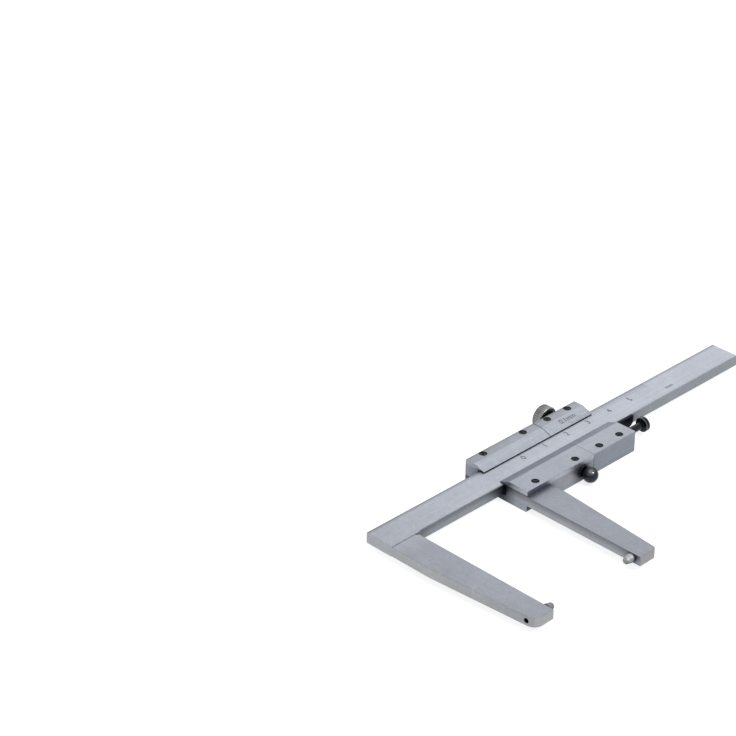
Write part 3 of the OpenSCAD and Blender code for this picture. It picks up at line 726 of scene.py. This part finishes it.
def turned_steel(name, tone, density, roughness, grooves=False, underside=1.0):
    """Turned metal with tool marks round its axis.

    Grooves are darker where the piece's cut attribute says: on the thumb screw the knurl's depth with
    painted shade, on the pins painted shade next to the jaw. The underside has painted shade.
    """
    material, tree, shader, where = new_metal(name, roughness, 1.0)
    lines = place_group(tree, "grinding lines", {"Vector": where["Object"], "Density": density})
    clouds = place_group(tree, "clouds and grain", {"Vector": where["Object"], "Cloud Scale": 420.0})
    upwards = parts_of(tree, where["Normal"])[2]
    # The underside takes painted shade, besides the tool marks, clouds and streaks
    light = product(tree, between(tree, lines["Lines"], 0.86, 1.12),
                    between(tree, clouds["Clouds"], 0.7, 1.2),
                    between(tree, lines["Streaks"], 0.75, 1.2),
                    ranged(tree, upwards, -0.5, 0.5, underside, 1.0))
    shade = shaded(tree, opaque(tone), light)
    # Darker where the cut attribute says: painted shade, and on the thumb screw the knurl's grooves
    if grooves:
        shade = mixed(tree, attribute(tree, "cut"), shade, opaque(tinted(tone, 0.06)))
    rough = between(tree, clouds["Smudges"], roughness, roughness + 0.12)
    bump = add_node(tree, "ShaderNodeBump", {"Strength": 0.3, "Distance": 0.004 * MM,
                                             "Height": lines["Lines"]})
    set_inputs(tree, shader, {"Base Color": shade, "Roughness": rough, "Normal": bump.outputs[0]})
    return material


def etched_filling(name, tone):
    """Dark filling of the etched marks, thin in places so that the steel greys it."""
    material, tree, shader, where = new_metal(name, 0.6, 0.0)
    clouds = place_group(tree, "clouds and grain", {"Vector": where["Object"], "Cloud Scale": 500.0})
    thin = mixed(tree, clouds["Clouds"], opaque(tone), opaque(tinted(tone, 1.9)))
    set_inputs(tree, shader, {"Base Color": thin, "Roughness": between(tree, clouds["Grain"], 0.5, 0.7),
                              "Specular IOR Level": 0.2})
    return material


# Grinding of the plates, shared by those that are ground alike
BEAM_GRIND = {"density": (45, 9000, 9000), "roughness": 0.4, "line_contrast": 0.05, "cloud_contrast": 0.04}
JAW_GRIND = {"density": (7000, 60, 7000), "roughness": 0.42, "line_contrast": 0.028, "cloud_contrast": 0.06,
             "rim": (0.72, 0.72, 0.68), "edge": 0.3 * MM}
COVER_GRIND = {"density": (55, 8000, 8000), "roughness": 0.4, "line_contrast": 0.04, "cloud_contrast": 0.05}
BODY_MILL = {"density": (80, 3500, 3500), "roughness": 0.45, "line_contrast": 0.06, "cloud_contrast": 0.07}

# Blacks of the gib strip, the cover screws, the ball with its collar, and the plunger
BLACKS = {
    "black oxide": {"roughness": 0.3, "gloss": 0.05, "edge": 0.05 * MM, "tint": (1.5, 1.8, 2.1)},
    "oiled black": {"roughness": 0.24, "gloss": 0.13, "edge": 0.08 * MM},
    # The ball's and the plunger's blacks are grey where the worn attribute says: a painted reflection on the ball,
    # and worn rims with a painted highlight ring on the plunger
    "polished black": {"roughness": 0.14, "gloss": 0.42, "edge": 0.12 * MM, "wear_and_sheen": True},
    "satin black": {"roughness": 0.2, "gloss": 0.25, "edge": 0.1 * MM, "wear_and_sheen": True},
}


def finish(nodes, material):
    """Gives CAD nodes, whose shape is right, this finish."""
    for node in nodes:
        NODES[node].material_slots[0].material = material


def black_finish(name):
    """One of the blacks, made when the first piece asks for it."""
    return bpy.data.materials.get(name) or blackened_steel(name, **BLACKS[name])


def blued_steel():
    """The blued steel of the springs and the plunger's rod."""
    name = "blued spring steel"
    tone = bpy.context.scene.gauge_finishes.springs
    return bpy.data.materials.get(name) or turned_steel(name, tone, (60, 6000, 6000), 0.32)


def etched_marks():
    """The filling of all scale marks."""
    name = "etched filling"
    return bpy.data.materials.get(name) or etched_filling(name, bpy.context.scene.gauge_finishes.etched)


def by_beam():
    """Painted shade on the jaw carriage's left end, darker towards the beam."""
    low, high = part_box("moving_jaw")
    return Fade("Left", ALONG_Y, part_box("beam")[0].y, 5 * MM, 0.3, low.x - 2 * MM, high.x)


# Stage

def seen(tree):
    """1 on rays that show the background: those from the camera, mirrored or sent through glass."""
    path = add_node(tree, "ShaderNodeLightPath").outputs
    mirrored = maths(tree, "MAXIMUM", path["Is Glossy Ray"], path["Is Transmission Ray"])
    return maths(tree, "MAXIMUM", path["Is Camera Ray"], mirrored)


def lay_floor(stage):
    """A flat square grid just under the object. It adds some white to its lit colour, so shadows stay."""
    steps = 9
    reach = 3.0
    level = CAD_BOX[0].z - 0.02 * MM
    x, y = np.meshgrid(np.linspace(-reach, reach, steps), np.linspace(-reach, reach, steps))
    points = np.stack([x, y, np.full_like(x, level)], axis=-1).reshape(-1, 3)
    i, j = np.meshgrid(np.arange(steps - 1), np.arange(steps - 1), indexing="ij")
    first = (i * steps + j).ravel()
    faces = np.stack([first, first + 1, first + steps + 1, first + steps], axis=-1)
    mesh = bpy.data.meshes.new("floor")
    mesh.from_pydata(points.tolist(), [], faces.tolist())
    material = bpy.data.materials.new("pale floor")
    material.use_nodes = True
    tree = material.node_tree
    tree.nodes.clear()
    matt = add_node(tree, "ShaderNodeBsdfDiffuse", {"Color": opaque(stage.floor)})
    white = maths(tree, "MULTIPLY", seen(tree), stage.floor_glow)
    glow = add_node(tree, "ShaderNodeEmission", {"Strength": white})
    both = add_node(tree, "ShaderNodeAddShader", {0: matt.outputs[0], 1: glow.outputs[0]})
    add_node(tree, "ShaderNodeOutputMaterial", {"Surface": both.outputs[0]})
    mesh.materials.append(material)
    floor = bpy.data.objects.new("floor", mesh)
    floor.visible_shadow = False
    bpy.context.scene.collection.objects.link(floor)


def light_world(scene, stage):
    """White where it is seen, and an even soft light elsewhere."""
    world = bpy.data.worlds.new("studio")
    world.use_nodes = True
    tree = world.node_tree
    tree.nodes.clear()
    strength = between(tree, seen(tree), stage.ambient, 1.0)
    back = add_node(tree, "ShaderNodeBackground", {"Color": (1, 1, 1, 1), "Strength": strength})
    add_node(tree, "ShaderNodeOutputWorld", {"Surface": back.outputs[0]})
    scene.world = world


def hang_lamp(name, place, size, power):
    """A square lamp that shines at the object's middle."""
    lamp = bpy.data.lights.new(name, "AREA")
    lamp.size = size
    lamp.energy = power
    holder = bpy.data.objects.new(name, lamp)
    holder.location = place
    holder.rotation_euler = (-Vector(place)).to_track_quat("-Z", "Y").to_euler()
    holder.visible_camera = False
    bpy.context.scene.collection.objects.link(holder)


def set_camera(scene, stage):
    """The camera on its line of sight: the aim plus the distance along the direction back to the camera."""
    flat = math.cos(stage.elevation)
    back = Vector((math.sin(stage.azimuth) * flat, -math.cos(stage.azimuth) * flat,
                   math.sin(stage.elevation)))
    aim = Vector((-stage.aim_x, stage.aim_y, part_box("beam")[0].z))
    data = bpy.data.cameras.new("camera")
    data.lens = stage.lens
    data.sensor_width = 36.0
    data.clip_start = 0.01
    camera = bpy.data.objects.new("camera", data)
    camera.location = aim + back * stage.distance
    camera.rotation_euler = (-back).to_track_quat("-Z", "Y").to_euler()
    scene.collection.objects.link(camera)
    scene.camera = camera


# Operators

class GAUGE_OT_grind_beam(bpy.types.Operator):
    """Satin-grind the beam, with lines along its length"""
    bl_idname = "gauge.grind_beam"
    bl_label = "Grind beam"

    def execute(self, context):
        colours = context.scene.gauge_finishes
        low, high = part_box("beam")
        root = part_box("fixed_jaw")[1].x + 0.4 * MM
        under_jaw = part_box("moving_jaw")[0].x + 12 * MM
        # Painted shade on the front edge between the jaws, painted light on the step above the fixed jaw, and
        # a painted dark band along the far edge
        front = {"facing": "Front", "along": ALONG_Z, "dark_at": high.z, "depth": 2.4 * MM}
        shadow = Fade(**front, shade=0.5, start=root, end=under_jaw, ease=1.5 * MM, bevel=1.0)
        step = Fade(**front, shade=2.4, start=low.x - MM, end=root - 0.9 * MM, ease=0.4 * MM, oil=0.0)
        far_edge = Fade("Faces", ALONG_Y, high.y, 1.6 * MM, 0.42, low.x - MM, high.x + MM, ease=0.1 * MM)
        steel = plate_steel("satin beam", colours.beam, ((0.93, 0.92, 0.87), (0.67, 0.68, 0.67)),
                            rim=(0.9, 0.9, 0.9), bevels=(0.8, 1.0), fades=[shadow, step, far_edge],
                            **BEAM_GRIND)
        finish(["beam"], steel)
        return {"FINISHED"}


class GAUGE_OT_grind_jaws(bpy.types.Operator):
    """Surface-grind both jaws, with lines along their reach"""
    bl_idname = "gauge.grind_jaws"
    bl_label = "Grind jaws"

    def execute(self, context):
        colours = context.scene.gauge_finishes
        low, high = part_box("fixed_jaw")
        # The fixed jaw is lighter at its root, and darker on its left edge towards the tip
        whole = {"along": ALONG_Y, "start": low.x - MM, "end": high.x + MM, "ease": 0.1 * MM}
        root = Fade("Faces", dark_at=high.y, depth=7 * MM, shade=(1.28, 1.25, 1.24), **whole)
        tip = Fade("Left", dark_at=low.y + 8 * MM, depth=-30 * MM, shade=(0.86, 0.87, 0.89), **whole)
        fixed = plate_steel("fixed jaw steel", colours.fixed_jaw, [(1.17, 1.13, 1.05)] * 2, fades=[root, tip],
                            **JAW_GRIND)
        finish(["fixed_jaw"], fixed)
        low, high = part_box("moving_jaw")
        left = low.x - 2 * MM
        # The moving jaw has painted shadow on its left edge near the top, painted shade there by the beam,
        # and is warmer on its end
        upper = Fade("Left", ALONG_Z, high.z, 2.8 * MM, 0.45, left, high.x)
        end = Fade("Front", ALONG_Y, low.y, -5 * MM, (1.0, 0.97, 0.92), left, high.x + MM)
        moving = plate_steel("moving jaw steel", colours.moving_jaw, [(1.09, 1.08, 1.05), (1.1, 1.08, 1.04)],
                             fades=[upper, by_beam(), end], **JAW_GRIND)
        finish(["moving_jaw"], moving)
        return {"FINISHED"}


class GAUGE_OT_grind_covers(bpy.types.Operator):
    """Grind the four bevelled cover plates"""
    bl_idname = "gauge.grind_covers"
    bl_label = "Grind cover plates"

    def execute(self, context):
        colours = context.scene.gauge_finishes
        low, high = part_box("vernier_plate")
        half_seam = 0.22 * MM
        # The rear covers have painted shade at the seam between them, and a painted darker band along
        # the far edge
        parting = Fade("Faces", ALONG_Z, 0.0, MM, 0.5, low.x - half_seam, low.x + half_seam, ease=0.06 * MM,
                       bevel=1.0)
        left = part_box("jaw_rear_cover")[0].x
        far_edge = Fade("Faces", ALONG_Y, high.y, 1.8 * MM, 0.72, left - MM, high.x + MM, ease=0.1 * MM)
        # The rear covers' forward bevel is painted lighter, and the front covers' rear bevel darker, as light
        # falls
        rear = plate_steel("rear cover steel", colours.rear_covers, (1.2, 1.2), rim=(1.2, 1.2, 1.18),
                           bevels=(1.48, 1.0), fades=[parting, far_edge], **COVER_GRIND)
        finish(["jaw_rear_cover", "vernier_plate"], rear)
        # The two front covers are lighter and darker copies of one steel on their upright edges: painted light and
        # shade
        for node, upright, rim in (("jaw_front_cover", (1.28, (1.4, 1.42, 1.45)), (1.35, 1.35, 1.33)),
                                   ("clamp_front_cover", (0.85, (0.76, 0.77, 0.79)), (1.2, 1.2, 1.18))):
            name = node.replace("_", " ") + " steel"
            front = plate_steel(name, colours.front_covers, upright, rim=rim,
                                bevels=(1.0, (0.64, 0.68, 0.73)), **COVER_GRIND)
            finish([node], front)
        return {"FINISHED"}


class GAUGE_OT_mill_bodies(bpy.types.Operator):
    """Mill the carriages' bodies, with coarse lines along the beam"""
    bl_idname = "gauge.mill_bodies"
    bl_label = "Mill carriage bodies"

    def execute(self, context):
        tone = context.scene.gauge_finishes.bodies
        milled = plate_steel("milled bodies", tone, (0.8, (0.71, 0.72, 0.73)), rim=(1.2, 1.2, 1.2),
                             **BODY_MILL)
        finish(["jaw_rear_block", "clamp_body"], milled)
        low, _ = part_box("jaw_base_plate")
        # The base plate is a lighter-edged copy of the milled steel, with painted shade on its left end by the
        # beam and painted shadow on its front edge at that corner
        corner = Fade("Front", ALONG_Z, low.z, MM, 0.4, low.x - MM, low.x + 9 * MM)
        base = plate_steel("base plate steel", tone, (0.92, 0.85), rim=(0.8, 0.8, 0.8),
                           fades=[by_beam(), corner], **BODY_MILL)
        finish(["jaw_base_plate"], base)
        return {"FINISHED"}


class GAUGE_OT_finish_strips(bpy.types.Operator):
    """Blacken the gib strip and the cover screws, blue the leaf spring and the rod, and dull the shoe"""
    bl_idname = "gauge.finish_strips"
    bl_label = "Finish screws and strips"

    def execute(self, context):
        finish(["gib_strip"], black_finish("black oxide"))
        finish(["jaw_cover_screws", "clamp_cover_screws"], black_finish("oiled black"))
        finish(["leaf_spring", "plunger_rod"], blued_steel())
        brass = turned_steel("dull brass", context.scene.gauge_finishes.brass, (50, 5000, 5000), 0.38)
        finish(["clamp_shoe"], brass)
        return {"FINISHED"}


def scale_zero(scale):
    """X of the beam's zero: the vernier's zero reads the gap of the pins less the plunger's stroke."""
    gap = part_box("moving_measuring_pin")[0].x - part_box("fixed_measuring_pin")[1].x
    stroke = JOINTS["jaw_advance"]["range_m"][1]
    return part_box("vernier_plate")[0].x + scale.vernier_inset - (gap - stroke)


class GAUGE_OT_mark_beam(bpy.types.Operator):
    """Etch the beam's millimetre lines, numbers and unit mark"""
    bl_idname = "gauge.mark_beam"
    bl_label = "Mark beam scale"

    def execute(self, context):
        scale = context.scene.gauge_scale
        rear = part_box("beam")[1].y
        zero = scale_zero(scale)
        face, out = on_surface("beam", zero, rear - scale.number_drop)
        reading = np.arange(scale.longest + 1)
        lengths = np.select([reading % 10 == 0, reading % 5 == 0], [scale.long_line, scale.middle_line],
                            scale.short_line)
        starts = np.stack([zero + reading * scale.pitch, np.full(len(reading), rear - scale.line_start),
                           np.full(len(reading), face.z)], axis=-1)
        points, faces = bars(starts, (0, -1, 0), out, scale.line_width, lengths, scale.proud)
        lines = new_piece("beam_scale_lines", points, faces, etched_marks(), "beam_frame")
        words = [(str(ten), scale.number_height,
                  Matrix.Translation((zero + 10 * ten * scale.pitch, rear - scale.number_drop, face.z)))
                 for ten in range(scale.numbered + 1)]
        unit_x = zero + scale.longest * scale.pitch + scale.unit_gap
        unit_place = Matrix.Translation((unit_x, rear - scale.unit_drop, face.z))
        words.append(("mm", scale.unit_height, unit_place))
        numbers = lettering("beam_scale_numbers", words, etched_marks(), "beam_frame")
        if not (lines.data.polygons and numbers.data.polygons):
            raise RuntimeError("the beam's scale is empty")
        return {"FINISHED"}


class GAUGE_OT_mark_vernier(bpy.types.Operator):
    """Etch the vernier's lines and its plain label on the bevel of its plate"""
    bl_idname = "gauge.mark_vernier"
    bl_label = "Mark vernier"

    def execute(self, context):
        scale = context.scene.gauge_scale
        low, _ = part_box("vernier_plate")
        zero = low.x + scale.vernier_inset
        edge_gap = 0.05 * MM
        label_shift = 0.45 * MM
        longer = 1.2
        foot, out = on_surface("vernier_plate", zero, low.y + edge_gap)
        up = out.cross(Vector((1, 0, 0))).normalized()
        parts = np.arange(scale.vernier_parts + 1)
        starts = np.array(foot) + np.outer(parts * scale.vernier_span / scale.vernier_parts, (1, 0, 0))
        lengths = scale.vernier_line * np.where(parts % 5 == 0, longer, 1.0)
        points, faces = bars(starts, up, out, scale.line_width, lengths, scale.proud)
        new_piece("vernier_lines", points, faces, etched_marks(), "clamp_carriage")
        label_at, facing = on_surface("vernier_plate", zero + label_shift, low.y + scale.label_rise)
        place = Matrix((Vector((1, 0, 0)), up, facing)).transposed().to_4x4()
        place.translation = label_at
        lettering("vernier_label", [("0.1mm", scale.label_height, place)], etched_marks(), "clamp_carriage")
        return {"FINISHED"}


class GAUGE_OT_turn_pins(bpy.types.Operator):
    """Turn the two blunt measuring pins, which point at each other along X"""
    bl_idname = "gauge.turn_pins"
    bl_label = "Turn measuring pins"

    def execute(self, context):
        sizes = context.scene.gauge_turned
        colours = context.scene.gauge_finishes
        shade_reach = 0.7 * MM
        shade_depth = 0.85
        # The moving pin takes the lighter pin colour as painted light
        for node, body, toward, name, tone in (
                ("fixed_measuring_pin", "beam_frame", 1, "turned pin", colours.pins),
                ("moving_measuring_pin", "jaw_carriage", -1, "bright pin", colours.bright_pin)):
            low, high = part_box(node)
            tail = -(high.x - low.x - sizes.pin_length)
            corners = np.array([
                (tail, 0.0),
                (tail, sizes.pin_shank / 2),
                (0.0, sizes.pin_shank / 2),
                (0.0, sizes.pin_base / 2),
                (sizes.pin_rim, sizes.pin_base / 2),
                (sizes.pin_length - sizes.pin_rim, (sizes.pin_end + sizes.pin_rim) / 2),
                (sizes.pin_length, (sizes.pin_end - sizes.pin_rim) / 2),
                (sizes.pin_length, 0.0),
            ])
            if toward < 0:
                corners = corners[::-1] * (-1, 1)
            root_x = high.x - sizes.pin_length if toward > 0 else low.x + sizes.pin_length
            centre = middle(node)
            outline = refined(rounded(corners, sizes.soft_edge), spacing=0.15 * MM)
            points, faces, _ = turned(outline, "X", (root_x, centre.y, centre.z))
            # Painted shade on the undersides of both pins
            steel = turned_steel(name, tone, (9000, 500, 500), 0.5, grooves=True, underside=0.25)
            pin = new_piece(node + "_turned", points, faces, steel, body)
            # Painted shade on each pin next to its jaw, kept in the cut attribute
            from_jaw = np.abs(points[:, 0] - root_x) / shade_reach
            give(pin, "cut", shade_depth * np.clip(1.5 - from_jaw, 0, 1))
            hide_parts(node)
        return {"FINISHED"}


class GAUGE_OT_turn_ball(bpy.types.Operator):
    """Turn the ball knob with its shank, and the collar behind it"""
    bl_idname = "gauge.turn_ball"
    bl_label = "Turn ball knob"

    def execute(self, context):
        sizes = context.scene.gauge_turned
        low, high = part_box("ball_knob")
        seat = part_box("ball_collar")[0].y
        radius = (high.z - low.z) / 2
        axis_x, _, axis_z = middle("ball_knob")
        centre_y = low.y + radius
        opening = math.acos((seat - centre_y) / radius)
        polar = np.linspace(np.pi, opening, 40)
        ball = np.stack([centre_y + radius * np.cos(polar), radius * np.sin(polar)], axis=-1)
        shank = rounded([
            tuple(ball[-1]),
            (seat, sizes.ball_shank / 2),
            (high.y - sizes.ball_dog_length, sizes.ball_shank / 2),
            (high.y - sizes.ball_dog_length, sizes.ball_dog / 2),
            (high.y, sizes.ball_dog / 2),
            (high.y, 0.0),
        ], sizes.soft_edge)
        outline = np.concatenate([ball[:-1], shank])
        black = black_finish("polished black")
        points, faces, _ = turned(outline, "Y", (axis_x, 0.0, axis_z), steps=96)
        knob = new_piece("ball_knob_turned", points, faces, black, "jaw_carriage")
        # Painted reflection: a lighter metallic patch, kept in the worn attribute, where the front lamp mirrors in
        # the ball
        sheen_way = np.array([-0.34, -0.47, 0.81])
        patch_edge = 0.86
        patch_blend = 0.1
        patch_sheen = 0.75
        toward = (points - np.array([axis_x, centre_y, axis_z])) / radius @ sheen_way
        give(knob, "worn", patch_sheen * np.clip((toward - patch_edge) / patch_blend, 0, 1))
        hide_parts("ball_knob")
        front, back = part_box("ball_collar")
        outer = (back.z - front.z) / 2
        inner = sizes.ball_shank / 2 + 0.02 * MM
        section = rounded([(front.y, inner), (front.y, outer), (back.y, outer), (back.y, inner)],
                          sizes.soft_edge)
        points, faces = turned_ring(section, "Y", (axis_x, 0.0, axis_z))
        collar = new_piece("ball_collar_turned", points, faces, black, "jaw_carriage")
        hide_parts("ball_collar")
        return {"FINISHED"}


class GAUGE_OT_turn_plunger(bpy.types.Operator):
    """Turn the plunger's stem, neck and flanged knob"""
    bl_idname = "gauge.turn_plunger"
    bl_label = "Turn plunger"

    def execute(self, context):
        sizes = context.scene.gauge_turned
        low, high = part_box("plunger_knob")
        radius = (high.z - low.z) / 2
        knob_start = high.x - sizes.knob_length
        worn_reach = 0.3 * MM
        corners = [
            (low.x, 0.0),
            (low.x, sizes.stem / 2),
            (knob_start - sizes.neck_length, sizes.stem / 2),
            (knob_start - sizes.neck_length, sizes.neck / 2),
            (knob_start, sizes.neck / 2),
            (knob_start, radius),
            (high.x, radius),
            (high.x, 0.0),
        ]
        outline = refined(rounded(corners, radius=0.18 * MM), spacing=0.1 * MM)
        centre = middle("plunger_knob")
        points, faces, _ = turned(outline, "X", (0.0, centre.y, centre.z), steps=96)
        black = black_finish("satin black")
        plunger = new_piece("plunger_turned", points, faces, black, "jaw_carriage")
        # Worn rims on the knob, kept in the worn attribute, that also paint a highlight ring at its edges
        away = np.linalg.norm(points[:, 1:] - np.array([centre.y, centre.z]), axis=1)
        rims = [np.hypot(points[:, 0] - edge, away - radius) for edge in (knob_start, high.x)]
        give(plunger, "worn", np.clip(1.2 - np.minimum(*rims) / worn_reach, 0, 1))
        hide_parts("plunger_knob")
        return {"FINISHED"}


class GAUGE_OT_cut_thumb_screw(bpy.types.Operator):
    """Turn the thumb screw, knurl its head and cut its thread"""
    bl_idname = "gauge.cut_thumb_screw"
    bl_label = "Cut thumb screw"

    def execute(self, context):
        sizes = context.scene.gauge_turned
        low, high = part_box("thumb_screw")
        radius = (high.z - low.z) / 2
        head_front = high.y - sizes.head
        thread_end = head_front - sizes.thumb_collar_length
        recess_floor = head_front + sizes.recess
        steps_a_tooth = 6
        corners = [
            (low.y, 0.0),
            (low.y, sizes.thumb_shank / 2 - sizes.thread_depth),
            (low.y + sizes.thread_depth, sizes.thumb_shank / 2),
            (thread_end, sizes.thumb_shank / 2),
            (thread_end, sizes.thumb_collar / 2),
            (recess_floor, sizes.thumb_collar / 2),
            (recess_floor, radius - sizes.head_wall),
            (head_front, radius - sizes.head_wall),
            (head_front, radius - sizes.head_rim),
            (head_front + sizes.head_rim, radius),
            (high.y - sizes.head_rim, radius),
            (high.y, radius - sizes.head_rim),
            (high.y, 0.0),
        ]
        outline = refined(rounded(corners, radius=0.1 * MM), spacing=0.06 * MM)

        def relief(along, r, turn):
            """V thread on the shank: a triangle wave of along / pitch - turn / 2 pi. V knurl on the head: a
            triangle wave of the turn, cut only where the surface stands at the head's full radius."""
            thread = 2 * np.abs((along / sizes.thread_pitch - turn / (2 * np.pi)) % 1.0 - 0.5)
            ridge = 2 * np.abs((turn * sizes.knurl_teeth / (2 * np.pi)) % 1.0 - 0.5)
            before_end = np.clip((thread_end - along) / sizes.thread_pitch, 0, 1)
            on_shank = before_end * (r > 0.9 * sizes.thumb_shank / 2)
            near_rim = np.clip((r - radius + sizes.head_rim) / sizes.head_rim, 0, 1)
            on_head = near_rim * (along > head_front - MM)
            return sizes.thread_depth * thread * on_shank + sizes.knurl_depth * ridge * on_head

        centre = middle("thumb_screw")
        points, faces, cut = turned(outline, "Y", (centre.x, 0.0, centre.z),
                                    sizes.knurl_teeth * steps_a_tooth, relief)
        tone = context.scene.gauge_finishes.nickel
        nickel = turned_steel("knurled nickel", tone, (1500, 7000, 1500), 0.3, grooves=True)
        screw = new_piece("thumb_screw_knurled", points, faces, nickel, "thumb_screw")
        y = points[:, 1]
        away = np.linalg.norm(points[:, [0, 2]] - np.array([centre.x, centre.z]), axis=1)
        in_recess = (y < recess_floor + 0.01 * MM) & (away < radius - 0.95 * sizes.head_wall)
        on_rim = (y < head_front + 1.2 * sizes.head_rim) & (away > radius - 1.5 * sizes.head_rim)
        # Painted shade kept in the cut attribute: near black in the recess, a little on the front rim, and darker
        # towards the back of the head, added to the knurl's darker grooves
        recess_shade = 0.92
        rim_shade = 0.2
        groove_shade = 0.55 * cut / sizes.knurl_depth
        back_shade = 0.5 * np.clip((y - head_front) / sizes.head - 0.2, 0, 1)
        shade = np.select([in_recess, on_rim], [recess_shade, rim_shade], groove_shade + back_shade)
        give(screw, "cut", np.clip(shade, 0, 1))
        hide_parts("thumb_screw")
        return {"FINISHED"}


class GAUGE_OT_wind_spring(bpy.types.Operator):
    """Wind the return spring from round wire at rest length; the real one shortens under the plunger"""
    bl_idname = "gauge.wind_spring"
    bl_label = "Wind return spring"

    def execute(self, context):
        sizes = context.scene.gauge_turned
        low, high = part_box("return_spring")
        centre = middle("return_spring")
        radius = (high.z - low.z - sizes.wire) / 2
        points, faces = coil(low.x + sizes.wire / 2, high.x - sizes.wire / 2, radius, sizes.wire,
                             sizes.coil_turns, (0.0, centre.y, centre.z))
        spring = new_piece("return_spring_wound", points, faces, blued_steel(), "clamp_carriage")
        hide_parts("return_spring")
        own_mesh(spring)
        return {"FINISHED"}


class GAUGE_OT_light_stage(bpy.types.Operator):
    """Lay the pale floor, hang four lamps and set the camera at the picture's angle"""
    bl_idname = "gauge.light_stage"
    bl_label = "Light stage"

    def execute(self, context):
        scene = context.scene
        stage = scene.gauge_stage
        scene.view_settings.view_transform = "Standard"
        lay_floor(stage)
        light_world(scene, stage)
        hang_lamp("top_lamp", place=(-0.1, -0.1, 0.9), size=0.9, power=stage.top_power)
        hang_lamp("back_lamp", place=(0.26, 0.21, 0.16), size=0.2, power=stage.back_power)
        hang_lamp("front_lamp", place=(0.13, -0.58, 0.74), size=0.16, power=stage.front_power)
        hang_lamp("left_lamp", place=(-0.75, 0.0, 0.3), size=0.3, power=stage.left_power)
        set_camera(scene, stage)
        return {"FINISHED"}


OPERATORS = [GAUGE_OT_grind_beam, GAUGE_OT_grind_jaws, GAUGE_OT_grind_covers, GAUGE_OT_mill_bodies,
             GAUGE_OT_finish_strips, GAUGE_OT_mark_beam, GAUGE_OT_mark_vernier, GAUGE_OT_turn_pins,
             GAUGE_OT_turn_ball, GAUGE_OT_turn_plunger, GAUGE_OT_cut_thumb_screw, GAUGE_OT_wind_spring,
             GAUGE_OT_light_stage]


class VIEW3D_PT_gauge(bpy.types.Panel):
    """Lists the gauge's steps and settings"""
    bl_label = "Brake disc gauge"
    bl_space_type = "VIEW_3D"
    bl_region_type = "UI"
    bl_category = "Gauge"

    def draw(self, context):
        for operator in OPERATORS:
            self.layout.operator(operator.bl_idname)
        for name, settings in SETTINGS.items():
            box = self.layout.box()
            for setting in settings.__annotations__:
                box.prop(getattr(context.scene, name), setting)


def register():
    """Registers the settings, operators and panel."""
    for kind in [*SETTINGS.values(), *OPERATORS, VIEW3D_PT_gauge]:
        bpy.utils.register_class(kind)
    for name, settings in SETTINGS.items():
        setattr(bpy.types.Scene, name, bpy.props.PointerProperty(type=settings))


def unregister():
    """Removes what register() added."""
    for name in SETTINGS:
        delattr(bpy.types.Scene, name)
    for kind in reversed([*SETTINGS.values(), *OPERATORS, VIEW3D_PT_gauge]):
        bpy.utils.unregister_class(kind)


def main():
    """Runs every step in order."""
    register()
    bpy.ops.gauge.grind_beam()
    bpy.ops.gauge.grind_jaws()
    bpy.ops.gauge.grind_covers()
    bpy.ops.gauge.mill_bodies()
    bpy.ops.gauge.finish_strips()
    bpy.ops.gauge.mark_beam()
    bpy.ops.gauge.mark_vernier()
    bpy.ops.gauge.turn_pins()
    bpy.ops.gauge.turn_ball()
    bpy.ops.gauge.turn_plunger()
    bpy.ops.gauge.cut_thumb_screw()
    bpy.ops.gauge.wind_spring()
    bpy.ops.gauge.light_stage()


if __name__ == "__main__":
    main()
